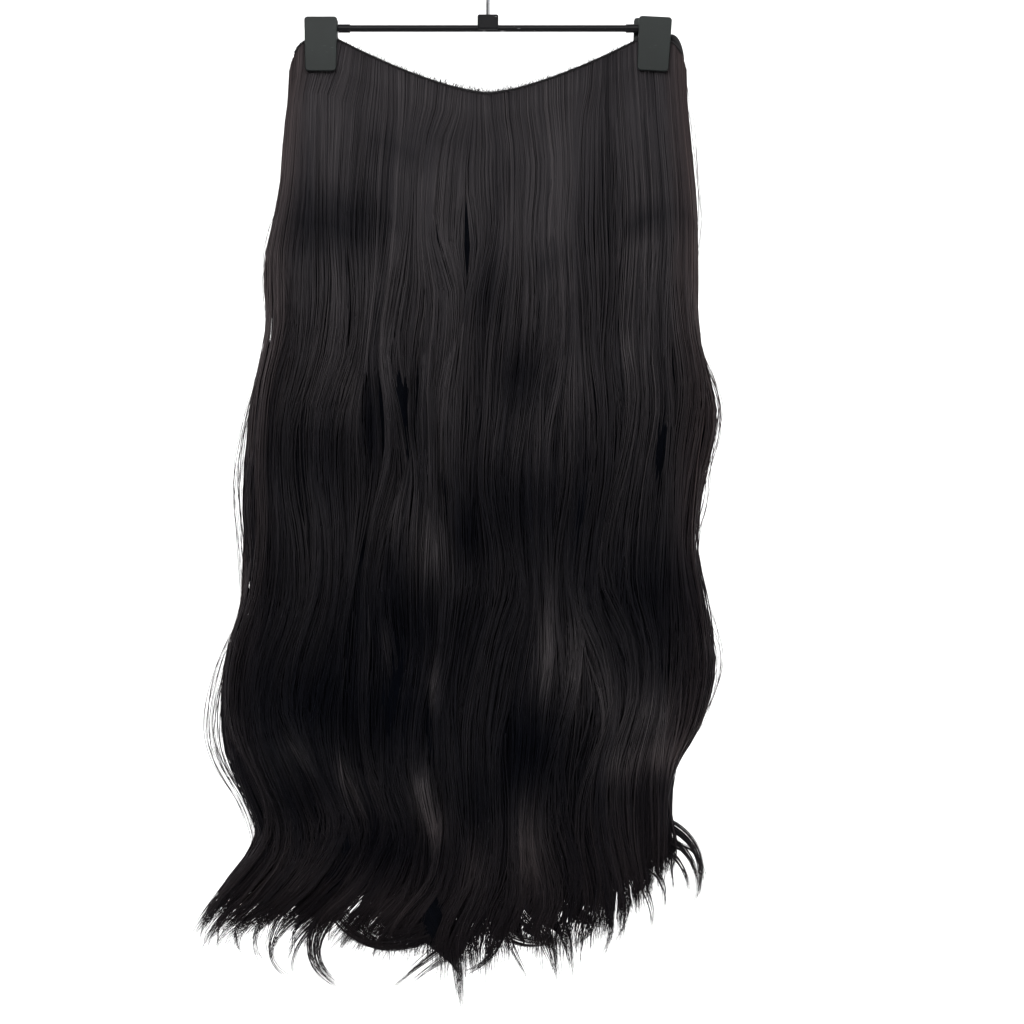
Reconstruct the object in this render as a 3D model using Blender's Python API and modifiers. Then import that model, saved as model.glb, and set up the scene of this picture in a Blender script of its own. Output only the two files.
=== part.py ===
"""Clip-in hair extension hanging from a clip hanger, in metres, +Z up.

The origin is the inside top of the hanger's hook, where a rail carries it.
The hair faces -Y and falls along -Z.  Its waves are wide S bends that the locks
share, and each lock swings a little on its own and ends in its own tip.
"""
import math

import bmesh
import bpy
from mathutils import Vector

# Gap between pieces that touch
GAP = 0.0003

# Hanger: a round bar with a collar inside each clip, and a bent wire hook
BAR_DIAMETER = 0.0046
BAR_END_INSET = 0.003
COLLAR_DIAMETER = 0.0058
COLLAR_LENGTH = 0.008
BOSS_WIDTH = 0.014
BOSS_DEPTH = 0.009
BOSS_RISE = 0.009
BOSS_SINK = 0.0012
BOSS_EDGE = 0.0012
HOOK_WIRE = 0.0032
HOOK_RADIUS = 0.0215
HOOK_RISE = 0.078
HOOK_STEM_SEAT = 0.0055
HOOK_NECK = 0.011
HOOK_START_DEG = -55.0
HOOK_END_DEG = 192.0
# How strongly the neck's bend pulls towards its two ends, as a share of its height
HOOK_PULL_SHARE = 1.1

# Hanger clips: two jaws pressed together by a bent steel band over the bar
JAW_WIDTH = 0.0222
JAW_TIP_WIDTH = 0.0206
JAW_THICKNESS = 0.003
JAW_BELOW = 0.0291
JAW_ABOVE = 0.0072
JAW_CORNER = 0.0022
JAW_EDGE = 0.0005
SPRING_BAND = 0.0007
SPRING_WIDTH = 0.012
SPRING_LEG = 0.0037
RIGHT_CLIP_TILT_DEG = -3.0
RIGHT_BACK_JAW_SHIFT = -0.003

# Weft: the sewn band, held at both ends and sagging between them
WEFT_SPAN = 0.266
WEFT_SAG = 0.036
WEFT_HEIGHT = 0.014
WEFT_THICKNESS = 0.0019
WEFT_BELOW_BAR = 0.0046
WEFT_END_DROOP = 0.021
WEFT_SEAM = 0.0012
SAG_POWER = 1.45
DROOP_POWER = 7.0
# Reach of the sewn band, spacing of the hanger clips and pitch of the snap clips, as
# shares of the weft's span
BAND_REACH_SHARE = 0.972
CLIP_SPACING_SHARE = 0.84
SNAP_PITCH_SHARE = 0.1485

# Snap clips sewn behind the band
SNAP_CLIP_COUNT = 5
SNAP_CLIP_LENGTH = 0.030
SNAP_CLIP_HEIGHT = 0.0105
SNAP_CLIP_CORNER = 0.003
SNAP_CLIP_THICKNESS = 0.0022
SNAP_CLIP_SLOT = 0.0026
SNAP_CLIP_BAR = 0.0022
SNAP_CLIP_DROP = 0.0072

# Hair
HAIR_LENGTH = 0.611
ROOT_THICKNESS = 0.0044
HAIR_FRONT = 0.023
HAIR_BACK = 0.019
ROOT_FALL = 0.027
FULL_FALL = 0.22
WAVE_PITCH = 0.164
BACKING_THICKNESS = 0.0036
TIP_THICKNESS = 0.0007
WISP_WIDTH = 0.0055
WISP_DEPTH = 0.0035

# Outline rows: drop below the clip line, as a share of the longest drop, and the
# left and right edge of the hair, as shares of half the weft's span
OUTLINE = (
    # drop, left, right
    (0.000, 1.000, 1.000),
    (0.032, 1.008, 1.000),
    (0.094, 1.028, 1.018),
    (0.167, 1.053, 1.048),
    (0.239, 1.118, 1.053),
    (0.312, 1.113, 1.068),
    (0.384, 1.195, 1.150),
    (0.457, 1.235, 1.092),
    (0.529, 1.220, 1.043),
    (0.601, 1.239, 1.120),
    (0.648, 1.305, 1.144),
    (0.705, 1.340, 1.068),
    (0.746, 1.310, 0.947),
    (0.798, 1.189, 0.912),
    (0.840, 1.179, 0.927),
    (0.881, 1.320, 0.877),
)

# Locks: place across from the left edge to the right; the drop at which the lock
# swings furthest right and the size of that swing; where its tip ends, across as a
# share of half the weft's span and down as a share of the longest drop; and how
# far the tip hooks sideways before it ends
FRONT_LOCKS = (
    # place, crest, swing, tip_across, tip_drop, hook
    (0.000, 0.350, 0.000, -1.450, 0.926, 0.190),
    (0.091, 0.350, 0.010, -1.270, 0.945, 0.120),
    (0.182, 0.340, 0.020, -1.020, 0.958, 0.060),
    (0.273, 0.440, 0.075, -0.740, 0.948, -0.050),
    (0.364, 0.250, 0.050, -0.430, 0.968, 0.050),
    (0.455, 0.520, 0.045, -0.130, 1.000, 0.000),
    (0.545, 0.525, 0.075, 0.060, 0.945, 0.030),
    (0.636, 0.525, 0.070, 0.230, 0.970, -0.030),
    (0.727, 0.490, 0.070, 0.420, 0.964, -0.040),
    (0.818, 0.470, 0.060, 0.620, 0.940, -0.050),
    (0.909, 0.440, 0.040, 0.840, 0.912, -0.040),
    (1.000, 0.380, 0.000, 1.060, 0.872, -0.140),
)
BACK_LOCKS = (
    # place, crest, swing, tip_across, tip_drop, hook
    (0.050, 0.360, 0.020, -1.330, 0.915, 0.040),
    (0.165, 0.390, 0.040, -1.120, 0.940, 0.050),
    (0.280, 0.330, 0.050, -0.880, 0.935, 0.040),
    (0.395, 0.470, 0.050, -0.560, 0.950, 0.050),
    (0.510, 0.400, 0.040, -0.280, 0.960, 0.040),
    (0.625, 0.460, 0.050, 0.020, 0.958, 0.030),
    (0.740, 0.420, 0.050, 0.320, 0.945, -0.030),
    (0.855, 0.500, 0.040, 0.700, 0.925, -0.040),
    (0.960, 0.400, 0.020, 0.930, 0.880, -0.040),
)

# Wisps: thin ends that leave a front lock near the bottom.  The lock they leave,
# the share of its length where they leave it, and their own tip and hook
WISPS = (
    # lock, leaves_at, tip_across, tip_drop, hook
    (0, 0.80, -1.400, 0.945, 0.050),
    (2, 0.84, -1.100, 0.968, 0.020),
    (2, 0.82, -0.735, 0.979, -0.150),
    (4, 0.86, -0.490, 0.980, 0.060),
    (5, 0.86, -0.235, 0.962, 0.030),
    (7, 0.86, 0.340, 0.975, -0.050),
    (9, 0.86, 0.570, 0.950, -0.030),
    (10, 0.84, 0.950, 0.895, -0.040),
    (11, 0.84, 1.090, 0.842, -0.080),
)

# Share of a lock's own length after which it heads for its tip
TIP_START_SHARE = 0.84
# Share of a lock's length after which it narrows, what is left at the tip, and how
# late the lock narrows
TAPER_START_SHARE = 0.87
TIP_SHARE = 0.05
TAPER_POWER = 0.55
# Share of a lock's length along which its sections still follow the weft's slope
SLOPED_SHARE = 0.20
# Lock width beside the room it has, so that neighbours overlap
OVERLAP_SHARE = 1.50
# Half of a lock's depth as a share of the hair's depth at that level
HALF_LOCK_SHARE = 0.34
# Share of the hair's depth that is left where the tips gather
GATHER_SHARE = 0.55
# How far the waves move the locks forward and back, as a share of the hair's depth
SWELL_SHARE = 0.10
# Fall by which a lock lies at its own side of the hair, as a share of ROOT_FALL
PARTED_SHARE = 2.5
# More than 1 puts a lock's sections closer together towards its tip
TIP_CROWDING_POWER = 1.35
# How far in from the hair's edges the backing stays, as a share of the width, and
# where it ends, as a share of the longest drop
BACKING_INSET_SHARE = 0.02
BACKING_END_SHARE = 0.80
# Depth of a wisp's tip as a share of its root's, the stretch that gives its first
# direction, as a share of the lock, and how late it narrows
WISP_TIP_SHARE = 0.6
WISP_AIM_SHARE = 0.02
WISP_POWER = 0.7

# Faces along and round each kind of piece
FRONT_LOCK_STEPS = 23
FRONT_LOCK_SIDES = 8
BACK_LOCK_STEPS = 19
BACK_LOCK_SIDES = 6
WISP_STEPS = 6
WISP_SIDES = 5
BACKING_COLUMNS = 18
BACKING_ROWS = 12
BAND_COLUMNS = 36
BAR_SIDES = 16
HOOK_BEND_STEPS = 7
HOOK_ARC_STEPS = 26
SPRING_BEND_STEPS = 10
CORNER_STEPS = 3
EDGE_STEPS = 2

# Places worked out from the sizes above
BAR_RADIUS = BAR_DIAMETER / 2
BAR_Z = -HOOK_RISE
WEFT_LINE_Z = BAR_Z - BAR_RADIUS - WEFT_BELOW_BAR
HALF_SPAN = WEFT_SPAN / 2
HAIR_DROP = HAIR_LENGTH + WEFT_SAG
CLIP_SPACING = WEFT_SPAN * CLIP_SPACING_SHARE
SNAP_CLIP_PITCH = WEFT_SPAN * SNAP_PITCH_SHARE
GRIP_REACH = (CLIP_SPACING - JAW_WIDTH) / 2
SPRING_INSIDE = BAR_RADIUS + GAP
JAW_INSIDE = SPRING_INSIDE + SPRING_BAND + GAP
ROOT_FRONT = -(JAW_INSIDE - GAP)
ROOT_BACK = ROOT_FRONT + ROOT_THICKNESS
BAND_FRONT = ROOT_BACK + GAP
BAND_BACK = BAND_FRONT + WEFT_THICKNESS


def smooth_share(low, high, value):
    """0 below low, 1 above high and an easy S between them."""
    share = min(max((value - low) / (high - low), 0.0), 1.0)
    return share * share * (3.0 - 2.0 * share)


def mix(first, second, share):
    return first + (second - first) * share


def read_row(rows, value, column):
    """Value of a column between the rows, on a smooth curve through them."""
    last = len(rows) - 1
    value = min(max(value, rows[0][0]), rows[last][0])
    row = 0
    while row < last - 1 and rows[row + 1][0] < value:
        row += 1
    before, after = max(row - 1, 0), min(row + 2, last)
    step = rows[row + 1][0] - rows[row][0]
    share = (value - rows[row][0]) / step
    slope_in = (rows[row + 1][column] - rows[before][column]) / (rows[row + 1][0] - rows[before][0])
    slope_out = (rows[after][column] - rows[row][column]) / (rows[after][0] - rows[row][0])
    square, cube = share ** 2, share ** 3
    return ((2 * cube - 3 * square + 1) * rows[row][column]
            + (cube - 2 * square + share) * step * slope_in
            + (3 * square - 2 * cube) * rows[row + 1][column]
            + (cube - square) * step * slope_out)


# Weft line

def sag_line(x):
    """Height of the band's top edge without its rounded ends."""
    reach = min(abs(x) / GRIP_REACH, 1.0)
    return WEFT_LINE_Z - WEFT_SAG * (1.0 - reach ** SAG_POWER)


def weft_top(x):
    """Height of the weft's top edge, drooping round the corner past each clip."""
    past = (min(abs(x), HALF_SPAN) - GRIP_REACH) / (HALF_SPAN - GRIP_REACH)
    droop = WEFT_END_DROOP * max(past, 0.0) ** DROOP_POWER
    return sag_line(x) - droop


# Blender helpers

def clear_scene():
    for thing in list(bpy.data.objects):
        bpy.data.objects.remove(thing, do_unlink=True)
    for group in list(bpy.data.collections):
        bpy.data.collections.remove(group)


def new_collection(name):
    collection = bpy.data.collections.new(name)
    bpy.context.scene.collection.children.link(collection)
    return collection


def make_material(name, color, roughness, metallic=0.0):
    material = bpy.data.materials.new(name)
    material.use_nodes = True
    surface = material.node_tree.nodes["Principled BSDF"]
    surface.inputs["Base Color"].default_value = (*color, 1.0)
    surface.inputs["Roughness"].default_value = roughness
    surface.inputs["Metallic"].default_value = metallic
    return material


def add_object(name, mesh, collection, material=None):
    piece = bpy.data.objects.new(name, mesh)
    collection.objects.link(piece)
    if material:
        mesh.materials.append(material)
    return piece


def mesh_from(shape, name):
    """Finish a bmesh as a mesh with its faces pointing out."""
    bmesh.ops.recalc_face_normals(shape, faces=shape.faces)
    mesh = bpy.data.meshes.new(name)
    shape.to_mesh(mesh)
    shape.free()
    return mesh


def as_cutter(piece):
    piece.hide_render = True
    piece.display_type = "WIRE"
    return piece


def boolean(piece, operation, cutter=None, group=None):
    modifier = piece.modifiers.new(operation.title(), "BOOLEAN")
    modifier.operation = operation
    modifier.solver = "EXACT"
    if group:
        modifier.operand_type = "COLLECTION"
        modifier.collection = group
    else:
        modifier.object = cutter


def bevel(piece, width, segments, angle_deg=40.0):
    modifier = piece.modifiers.new("Rounded edges", "BEVEL")
    modifier.width = width
    modifier.segments = segments
    modifier.limit_method = "ANGLE"
    modifier.angle_limit = math.radians(angle_deg)


def box_shape(width, depth, height):
    shape = bmesh.new()
    bmesh.ops.create_cube(shape, size=1.0)
    bmesh.ops.scale(shape, vec=(width, depth, height), verts=shape.verts)
    return shape


def round_corners(shape, radius, segments):
    """Round the corners of a plate that stands in the XZ plane."""
    edges = [edge for edge in shape.edges
             if abs((edge.verts[0].co - edge.verts[1].co).normalized().y) > 0.99]
    bmesh.ops.bevel(shape, geom=edges, offset=radius, segments=segments, profile=0.5,
                    affect="EDGES")


def loft(name, rings):
    """Closed tube through rings of the same number of points."""
    shape = bmesh.new()
    loops = [[shape.verts.new(point) for point in ring] for ring in rings]
    sides = len(rings[0])
    for lower, upper in zip(loops, loops[1:]):
        for side in range(sides):
            following = (side + 1) % sides
            shape.faces.new((lower[side], lower[following], upper[following], upper[side]))
    shape.faces.new(loops[0])
    shape.faces.new(loops[-1])
    return mesh_from(shape, name)


# Hair

def depth_at(fall):
    """Front and back of the hair at a fall below the weft's edge."""
    grown = smooth_share(ROOT_FALL, FULL_FALL, fall)
    return mix(ROOT_FRONT, -HAIR_FRONT, grown), mix(ROOT_BACK, HAIR_BACK, grown)


def lock_room(drop, count):
    """Half the width that each of a row of locks has at a drop, and the two edges."""
    left = -read_row(OUTLINE, drop, 1) * HALF_SPAN
    right = read_row(OUTLINE, drop, 2) * HALF_SPAN
    return (right - left) / count / 2, left, right


def lock_point(lock, count, side, share):
    """Centre of a lock at a share of its length, and its half width and half depth.

    side is -1 for the front layer and 1 for the back one.
    """
    place, crest, swing, tip_across, tip_drop, hook = lock
    root_x = mix(-HALF_SPAN, HALF_SPAN, mix(0.5 / count, 1 - 0.5 / count, place))
    root_z = weft_top(root_x) - WEFT_SEAM
    tip_z = WEFT_LINE_Z - tip_drop * HAIR_DROP
    z = mix(root_z, tip_z, share)
    drop = (WEFT_LINE_Z - z) / HAIR_DROP
    fall = root_z - z

    half_room, left, right = lock_room(drop, count)
    full_width = half_room * OVERLAP_SHARE
    x = mix(left + full_width, right - full_width, place)
    wave = 2 * math.pi * (drop - crest) * HAIR_DROP / WAVE_PITCH
    waving = smooth_share(ROOT_FALL, FULL_FALL, fall)
    x += swing * HALF_SPAN * waving * math.cos(wave)
    leaving = smooth_share(TIP_START_SHARE, 1.0, share)
    x = mix(x, tip_across * HALF_SPAN, leaving)
    x += hook * HALF_SPAN * math.sin(math.pi * leaving)

    front, back = depth_at(fall)
    gather = mix(1.0, GATHER_SHARE, leaving)
    thickness = (back - front) * gather
    half_depth = max(HALF_LOCK_SHARE * thickness, ROOT_THICKNESS / 2)
    outside = (back if side > 0 else front) * gather
    y = mix((ROOT_FRONT + ROOT_BACK) / 2, outside - side * half_depth,
            smooth_share(ROOT_FALL, ROOT_FALL * PARTED_SHARE, fall))
    y += SWELL_SHARE * thickness * waving * math.sin(wave)
    narrowed = (share - TAPER_START_SHARE) / (1.0 - TAPER_START_SHARE)
    taper = mix(TIP_SHARE, 1.0, (1.0 - max(narrowed, 0.0)) ** TAPER_POWER)
    return Vector((x, y, z)), full_width * taper, half_depth * taper


def ring_round(point, along, half_width, half_depth, sides, shear=0.0):
    """Ellipse across a path; shear lets the root follow the weft's slope."""
    across = along.cross(Vector((0, 1, 0))).normalized()
    through = across.cross(along).normalized()
    ring = []
    for side in range(sides):
        turn = 2 * math.pi * side / sides
        spot = point + across * half_width * math.cos(turn) + through * half_depth * math.sin(turn)
        if shear > 0.0:
            spot.z += shear * (weft_top(spot.x) - weft_top(point.x))
        ring.append(spot)
    return ring


def lock_mesh(name, lock, count, side, steps, sides):
    shares = [1.0 - (1.0 - step / steps) ** TIP_CROWDING_POWER for step in range(steps + 1)]
    points = [lock_point(lock, count, side, share) for share in shares]
    rings = []
    for step, (point, half_width, half_depth) in enumerate(points):
        before, after = points[max(step - 1, 0)][0], points[min(step + 1, steps)][0]
        along = (after - before).normalized() if step else Vector((0, 0, -1))
        shear = 1.0 - smooth_share(0.0, SLOPED_SHARE, shares[step])
        rings.append(ring_round(point, along, half_width, half_depth, sides, shear))
    return loft(name, rings)


def wisp_mesh(name, wisp):
    number, leaves_at, tip_across, tip_drop, hook = wisp
    parent = FRONT_LOCKS[number]
    start, _, _ = lock_point(parent, len(FRONT_LOCKS), -1, leaves_at)
    ahead, _, _ = lock_point(parent, len(FRONT_LOCKS), -1, leaves_at + WISP_AIM_SHARE)
    start_slope = (ahead.x - start.x) / (ahead.z - start.z)
    tip = Vector((tip_across * HALF_SPAN, start.y * WISP_TIP_SHARE, WEFT_LINE_Z - tip_drop * HAIR_DROP))
    points = []
    for step in range(WISP_STEPS + 1):
        share = step / WISP_STEPS
        z = mix(start.z, tip.z, share)
        eased = smooth_share(0.0, 1.0, share)
        x = mix(start.x + start_slope * (z - start.z), tip.x, eased)
        x += hook * HALF_SPAN * math.sin(math.pi * share)
        points.append(Vector((x, mix(start.y, tip.y, share), z)))
    rings = []
    for step, point in enumerate(points):
        before, after = points[max(step - 1, 0)], points[min(step + 1, WISP_STEPS)]
        thin = (1.0 - step / WISP_STEPS) ** WISP_POWER
        width = mix(TIP_THICKNESS, WISP_WIDTH, thin)
        depth = mix(TIP_THICKNESS, WISP_DEPTH, thin)
        rings.append(ring_round(point, (after - before).normalized(), width, depth, WISP_SIDES))
    return loft(name, rings)


def backing_mesh(name):
    """Thin sheet behind the locks, from the weft down to where the tips part."""
    shape = bmesh.new()
    y = (ROOT_FRONT + ROOT_BACK) / 2
    rows = []
    for row in range(BACKING_ROWS + 1):
        verts = []
        for column in range(BACKING_COLUMNS + 1):
            place = mix(BACKING_INSET_SHARE, 1 - BACKING_INSET_SHARE, column / BACKING_COLUMNS)
            root_x = mix(-HALF_SPAN, HALF_SPAN, place)
            root_z = weft_top(root_x) - WEFT_SEAM
            z = mix(root_z, WEFT_LINE_Z - BACKING_END_SHARE * HAIR_DROP, row / BACKING_ROWS)
            _, left, right = lock_room((WEFT_LINE_Z - z) / HAIR_DROP, 1)
            x = mix(left, right, place)
            verts.append(shape.verts.new((x, y, z)))
        rows.append(verts)
    for upper, lower in zip(rows, rows[1:]):
        for column in range(BACKING_COLUMNS):
            shape.faces.new((upper[column], lower[column], lower[column + 1], upper[column + 1]))
    mesh = bpy.data.meshes.new(name)
    shape.to_mesh(mesh)
    shape.free()
    return mesh


def keep_outer_shell(shape):
    """Delete the inside shells that fused locks close off between them."""
    bmesh.ops.triangulate(shape, faces=shape.faces)
    waiting = set(shape.faces)
    shells = []
    while waiting:
        shell = [waiting.pop()]
        for face in shell:
            joined = [edge for edge in face.edges if len(edge.link_faces) == 2]
            beside = {other for edge in joined for other in edge.link_faces} & waiting
            waiting -= beside
            shell.extend(beside)
        shells.append(shell)
    shells.sort(key=len)
    inside = [face for shell in shells[:-1] for face in shell]
    bmesh.ops.delete(shape, geom=inside, context="FACES")


def make_hair(part, cutters, material):
    locks = bpy.data.collections.new("Locks")
    cutters.children.link(locks)
    for number, lock in enumerate(FRONT_LOCKS):
        name = f"front_lock_{number + 1}"
        mesh = lock_mesh(name, lock, len(FRONT_LOCKS), -1, FRONT_LOCK_STEPS, FRONT_LOCK_SIDES)
        as_cutter(add_object(name, mesh, locks))
    for number, lock in enumerate(BACK_LOCKS):
        name = f"back_lock_{number + 1}"
        mesh = lock_mesh(name, lock, len(BACK_LOCKS), 1, BACK_LOCK_STEPS, BACK_LOCK_SIDES)
        as_cutter(add_object(name, mesh, locks))
    for number, wisp in enumerate(WISPS):
        name = f"wisp_{number + 1}"
        as_cutter(add_object(name, wisp_mesh(name, wisp), locks))

    backing = as_cutter(add_object("hair_backing", backing_mesh("hair_backing"), cutters))
    wall = backing.modifiers.new("Thickness", "SOLIDIFY")
    wall.thickness = BACKING_THICKNESS
    wall.offset = 0.0
    boolean(backing, "UNION", group=locks)
    bpy.context.view_layer.update()
    graph = bpy.context.evaluated_depsgraph_get()
    shape = bmesh.new()
    shape.from_mesh(backing.evaluated_get(graph).to_mesh())
    keep_outer_shell(shape)
    hair = add_object("hair", mesh_from(shape, "hair"), part, material)
    backing.modifiers.clear()
    return hair


# Weft and snap clips

def make_weft_band(part, material):
    shape = bmesh.new()
    reach = HALF_SPAN * BAND_REACH_SHARE
    middle = (BAND_FRONT + BAND_BACK) / 2
    columns = []
    for column in range(BAND_COLUMNS + 1):
        turn = math.pi * column / BAND_COLUMNS
        x = -reach * math.cos(turn)
        top = shape.verts.new((x, middle, weft_top(x)))
        bottom = shape.verts.new((x, middle, sag_line(x) - WEFT_HEIGHT))
        columns.append((top, bottom))
    for (top, bottom), (next_top, next_bottom) in zip(columns, columns[1:]):
        shape.faces.new((top, bottom, next_bottom, next_top))
    mesh = bpy.data.meshes.new("weft_band")
    shape.to_mesh(mesh)
    shape.free()
    band = add_object("weft_band", mesh, part, material)
    wall = band.modifiers.new("Thickness", "SOLIDIFY")
    wall.thickness = WEFT_THICKNESS
    wall.offset = 0.0
    return band


def make_snap_clips(part, cutters, material):
    """Slotted plates behind the band, each turned to the band's slope."""
    plate = box_shape(SNAP_CLIP_LENGTH, SNAP_CLIP_THICKNESS, SNAP_CLIP_HEIGHT)
    round_corners(plate, SNAP_CLIP_CORNER, CORNER_STEPS)
    plate_mesh = mesh_from(plate, "snap_clip")
    plate_mesh.materials.append(material)
    slot_length = SNAP_CLIP_LENGTH - 2 * SNAP_CLIP_BAR - SNAP_CLIP_CORNER
    slot_shape = box_shape(slot_length, SNAP_CLIP_THICKNESS * 2, SNAP_CLIP_SLOT)
    slot_mesh = mesh_from(slot_shape, "snap_slot")
    slot_rise = SNAP_CLIP_HEIGHT / 2 - SNAP_CLIP_BAR - SNAP_CLIP_SLOT / 2
    for number in range(SNAP_CLIP_COUNT):
        x = (number - (SNAP_CLIP_COUNT - 1) / 2) * SNAP_CLIP_PITCH
        slope = (sag_line(x + GAP) - sag_line(x - GAP)) / (2 * GAP)
        clip = bpy.data.objects.new(f"snap_clip_{number + 1}", plate_mesh)
        part.objects.link(clip)
        clip.location = (x, BAND_BACK + GAP + SNAP_CLIP_THICKNESS / 2, sag_line(x) - SNAP_CLIP_DROP)
        clip.rotation_euler = (0.0, -math.atan(slope), 0.0)
        for edge in (-1, 1):
            edge_name = "low" if edge < 0 else "high"
            slot = bpy.data.objects.new(f"snap_slot_{number + 1}_{edge_name}", slot_mesh)
            cutters.objects.link(as_cutter(slot))
            slot.parent = clip
            slot.location = (0.0, 0.0, edge * slot_rise)
            boolean(clip, "DIFFERENCE", cutter=slot)


# Hanger

def make_bar(part, cutters, material):
    """Round bar with two collars and a bored boss that seats the hook's stem."""
    half_length = CLIP_SPACING / 2 + JAW_WIDTH / 2 - BAR_END_INSET
    collar_out = GRIP_REACH - GAP
    collar_in = collar_out - COLLAR_LENGTH
    profile = (
        (-half_length, 0.0), (-half_length, BAR_RADIUS),
        (-collar_out, BAR_RADIUS), (-collar_out, COLLAR_DIAMETER / 2),
        (-collar_in, COLLAR_DIAMETER / 2), (-collar_in, BAR_RADIUS),
        (collar_in, BAR_RADIUS), (collar_in, COLLAR_DIAMETER / 2),
        (collar_out, COLLAR_DIAMETER / 2), (collar_out, BAR_RADIUS),
        (half_length, BAR_RADIUS), (half_length, 0.0),
    )
    shape = bmesh.new()
    verts = [shape.verts.new((x, 0.0, radius)) for x, radius in profile]
    for first, second in zip(verts, verts[1:]):
        shape.edges.new((first, second))
    mesh = bpy.data.meshes.new("hanger_bar")
    shape.to_mesh(mesh)
    shape.free()
    bar = add_object("hanger_bar", mesh, part, material)
    bar.location = (0.0, 0.0, BAR_Z)
    turning = bar.modifiers.new("Turned", "SCREW")
    turning.axis = "X"
    turning.steps = BAR_SIDES
    turning.render_steps = BAR_SIDES
    turning.use_merge_vertices = True
    turning.merge_threshold = 0.00001
    turning.use_normal_calculate = True

    boss_shape = box_shape(BOSS_WIDTH, BOSS_DEPTH, BOSS_RISE + BOSS_SINK)
    boss = as_cutter(add_object("bar_boss", mesh_from(boss_shape, "bar_boss"), cutters))
    boss.parent = bar
    boss.location = (0.0, 0.0, (BOSS_RISE - BOSS_SINK) / 2)
    bevel(boss, BOSS_EDGE, EDGE_STEPS)
    boolean(bar, "UNION", cutter=boss)

    bore_shape = bmesh.new()
    bore_depth = HOOK_STEM_SEAT + GAP
    bmesh.ops.create_cone(bore_shape, cap_ends=True, segments=BAR_SIDES,
                          radius1=HOOK_WIRE / 2 + GAP, radius2=HOOK_WIRE / 2 + GAP,
                          depth=bore_depth * 2)
    bore = as_cutter(add_object("boss_bore", mesh_from(bore_shape, "boss_bore"), cutters))
    bore.parent = bar
    bore.location = (0.0, 0.0, BOSS_RISE)
    boolean(bar, "DIFFERENCE", cutter=bore)
    return bar


def hook_path():
    """Stem up from the boss, an easy S to the hook's side, and the round hook."""
    centre_z = -(HOOK_RADIUS - HOOK_WIRE / 2)
    stem_low = BAR_Z + BOSS_RISE - HOOK_STEM_SEAT
    stem_high = centre_z - HOOK_RADIUS - HOOK_NECK
    start = math.radians(HOOK_START_DEG)
    arc_x, arc_z = HOOK_RADIUS * math.cos(start), centre_z + HOOK_RADIUS * math.sin(start)
    pull = (arc_z - stem_high) * HOOK_PULL_SHARE
    path = [(0.0, stem_low), (0.0, mix(stem_low, stem_high, 0.5)), (0.0, stem_high)]
    for step in range(1, HOOK_BEND_STEPS):
        share = step / HOOK_BEND_STEPS
        square, cube = share ** 2, share ** 3
        x = (3 * square - 2 * cube) * arc_x - (cube - square) * pull * math.sin(start)
        z = ((2 * cube - 3 * square + 1) * stem_high + (cube - 2 * square + share) * pull
             + (3 * square - 2 * cube) * arc_z + (cube - square) * pull * math.cos(start))
        path.append((x, z))
    for step in range(HOOK_ARC_STEPS + 1):
        turn = math.radians(mix(HOOK_START_DEG, HOOK_END_DEG, step / HOOK_ARC_STEPS))
        path.append((HOOK_RADIUS * math.cos(turn), centre_z + HOOK_RADIUS * math.sin(turn)))
    return path


def make_hook(part, material):
    curve = bpy.data.curves.new("hanger_hook", "CURVE")
    curve.dimensions = "3D"
    curve.bevel_depth = HOOK_WIRE / 2
    curve.bevel_resolution = 2
    curve.use_fill_caps = True
    path = hook_path()
    spline = curve.splines.new("POLY")
    spline.points.add(len(path) - 1)
    for point, (x, z) in zip(spline.points, path):
        point.co = (x, 0.0, z, 1.0)
    return add_object("hanger_hook", curve, part, material)


def make_jaw(name, side, shift, holder, part, material):
    """Flat plate with round corners; side is -1 for the front jaw."""
    height = JAW_ABOVE + JAW_BELOW
    shape = box_shape(JAW_WIDTH, JAW_THICKNESS, height)
    for vert in shape.verts:
        if vert.co.z < 0.0:
            vert.co.x *= JAW_TIP_WIDTH / JAW_WIDTH
    round_corners(shape, JAW_CORNER, CORNER_STEPS)
    jaw = add_object(name, mesh_from(shape, name), part, material)
    bevel(jaw, JAW_EDGE, EDGE_STEPS)
    jaw.parent = holder
    jaw.location = (shift, side * (JAW_INSIDE + JAW_THICKNESS / 2), JAW_ABOVE - height / 2)
    return jaw


def make_spring(name, holder, part, material):
    """Steel band bent over the bar, with two short legs against the jaws."""
    shape = bmesh.new()
    radius = SPRING_INSIDE + SPRING_BAND / 2
    outline = [(-radius, -SPRING_LEG)]
    for step in range(SPRING_BEND_STEPS + 1):
        turn = math.pi * (1.0 - step / SPRING_BEND_STEPS)
        outline.append((radius * math.cos(turn), radius * math.sin(turn)))
    outline.append((radius, -SPRING_LEG))
    left = [shape.verts.new((-SPRING_WIDTH / 2, y, z)) for y, z in outline]
    right = [shape.verts.new((SPRING_WIDTH / 2, y, z)) for y, z in outline]
    for step in range(len(outline) - 1):
        shape.faces.new((left[step], left[step + 1], right[step + 1], right[step]))
    mesh = bpy.data.meshes.new(name)
    shape.to_mesh(mesh)
    shape.free()
    spring = add_object(name, mesh, part, material)
    wall = spring.modifiers.new("Thickness", "SOLIDIFY")
    wall.thickness = SPRING_BAND
    wall.offset = 0.0
    spring.parent = holder
    return spring


def make_hanger_clip(side_name, x, tilt_deg, back_shift, part, plastic, steel):
    holder = bpy.data.objects.new(f"{side_name}_clip_axis", None)
    part.objects.link(holder)
    holder.location = (x, 0.0, BAR_Z)
    holder.rotation_euler = (0.0, -math.radians(tilt_deg), 0.0)
    make_jaw(f"{side_name}_front_jaw", -1, 0.0, holder, part, plastic)
    make_jaw(f"{side_name}_back_jaw", 1, back_shift, holder, part, plastic)
    make_spring(f"{side_name}_clip_spring", holder, part, steel)


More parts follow.
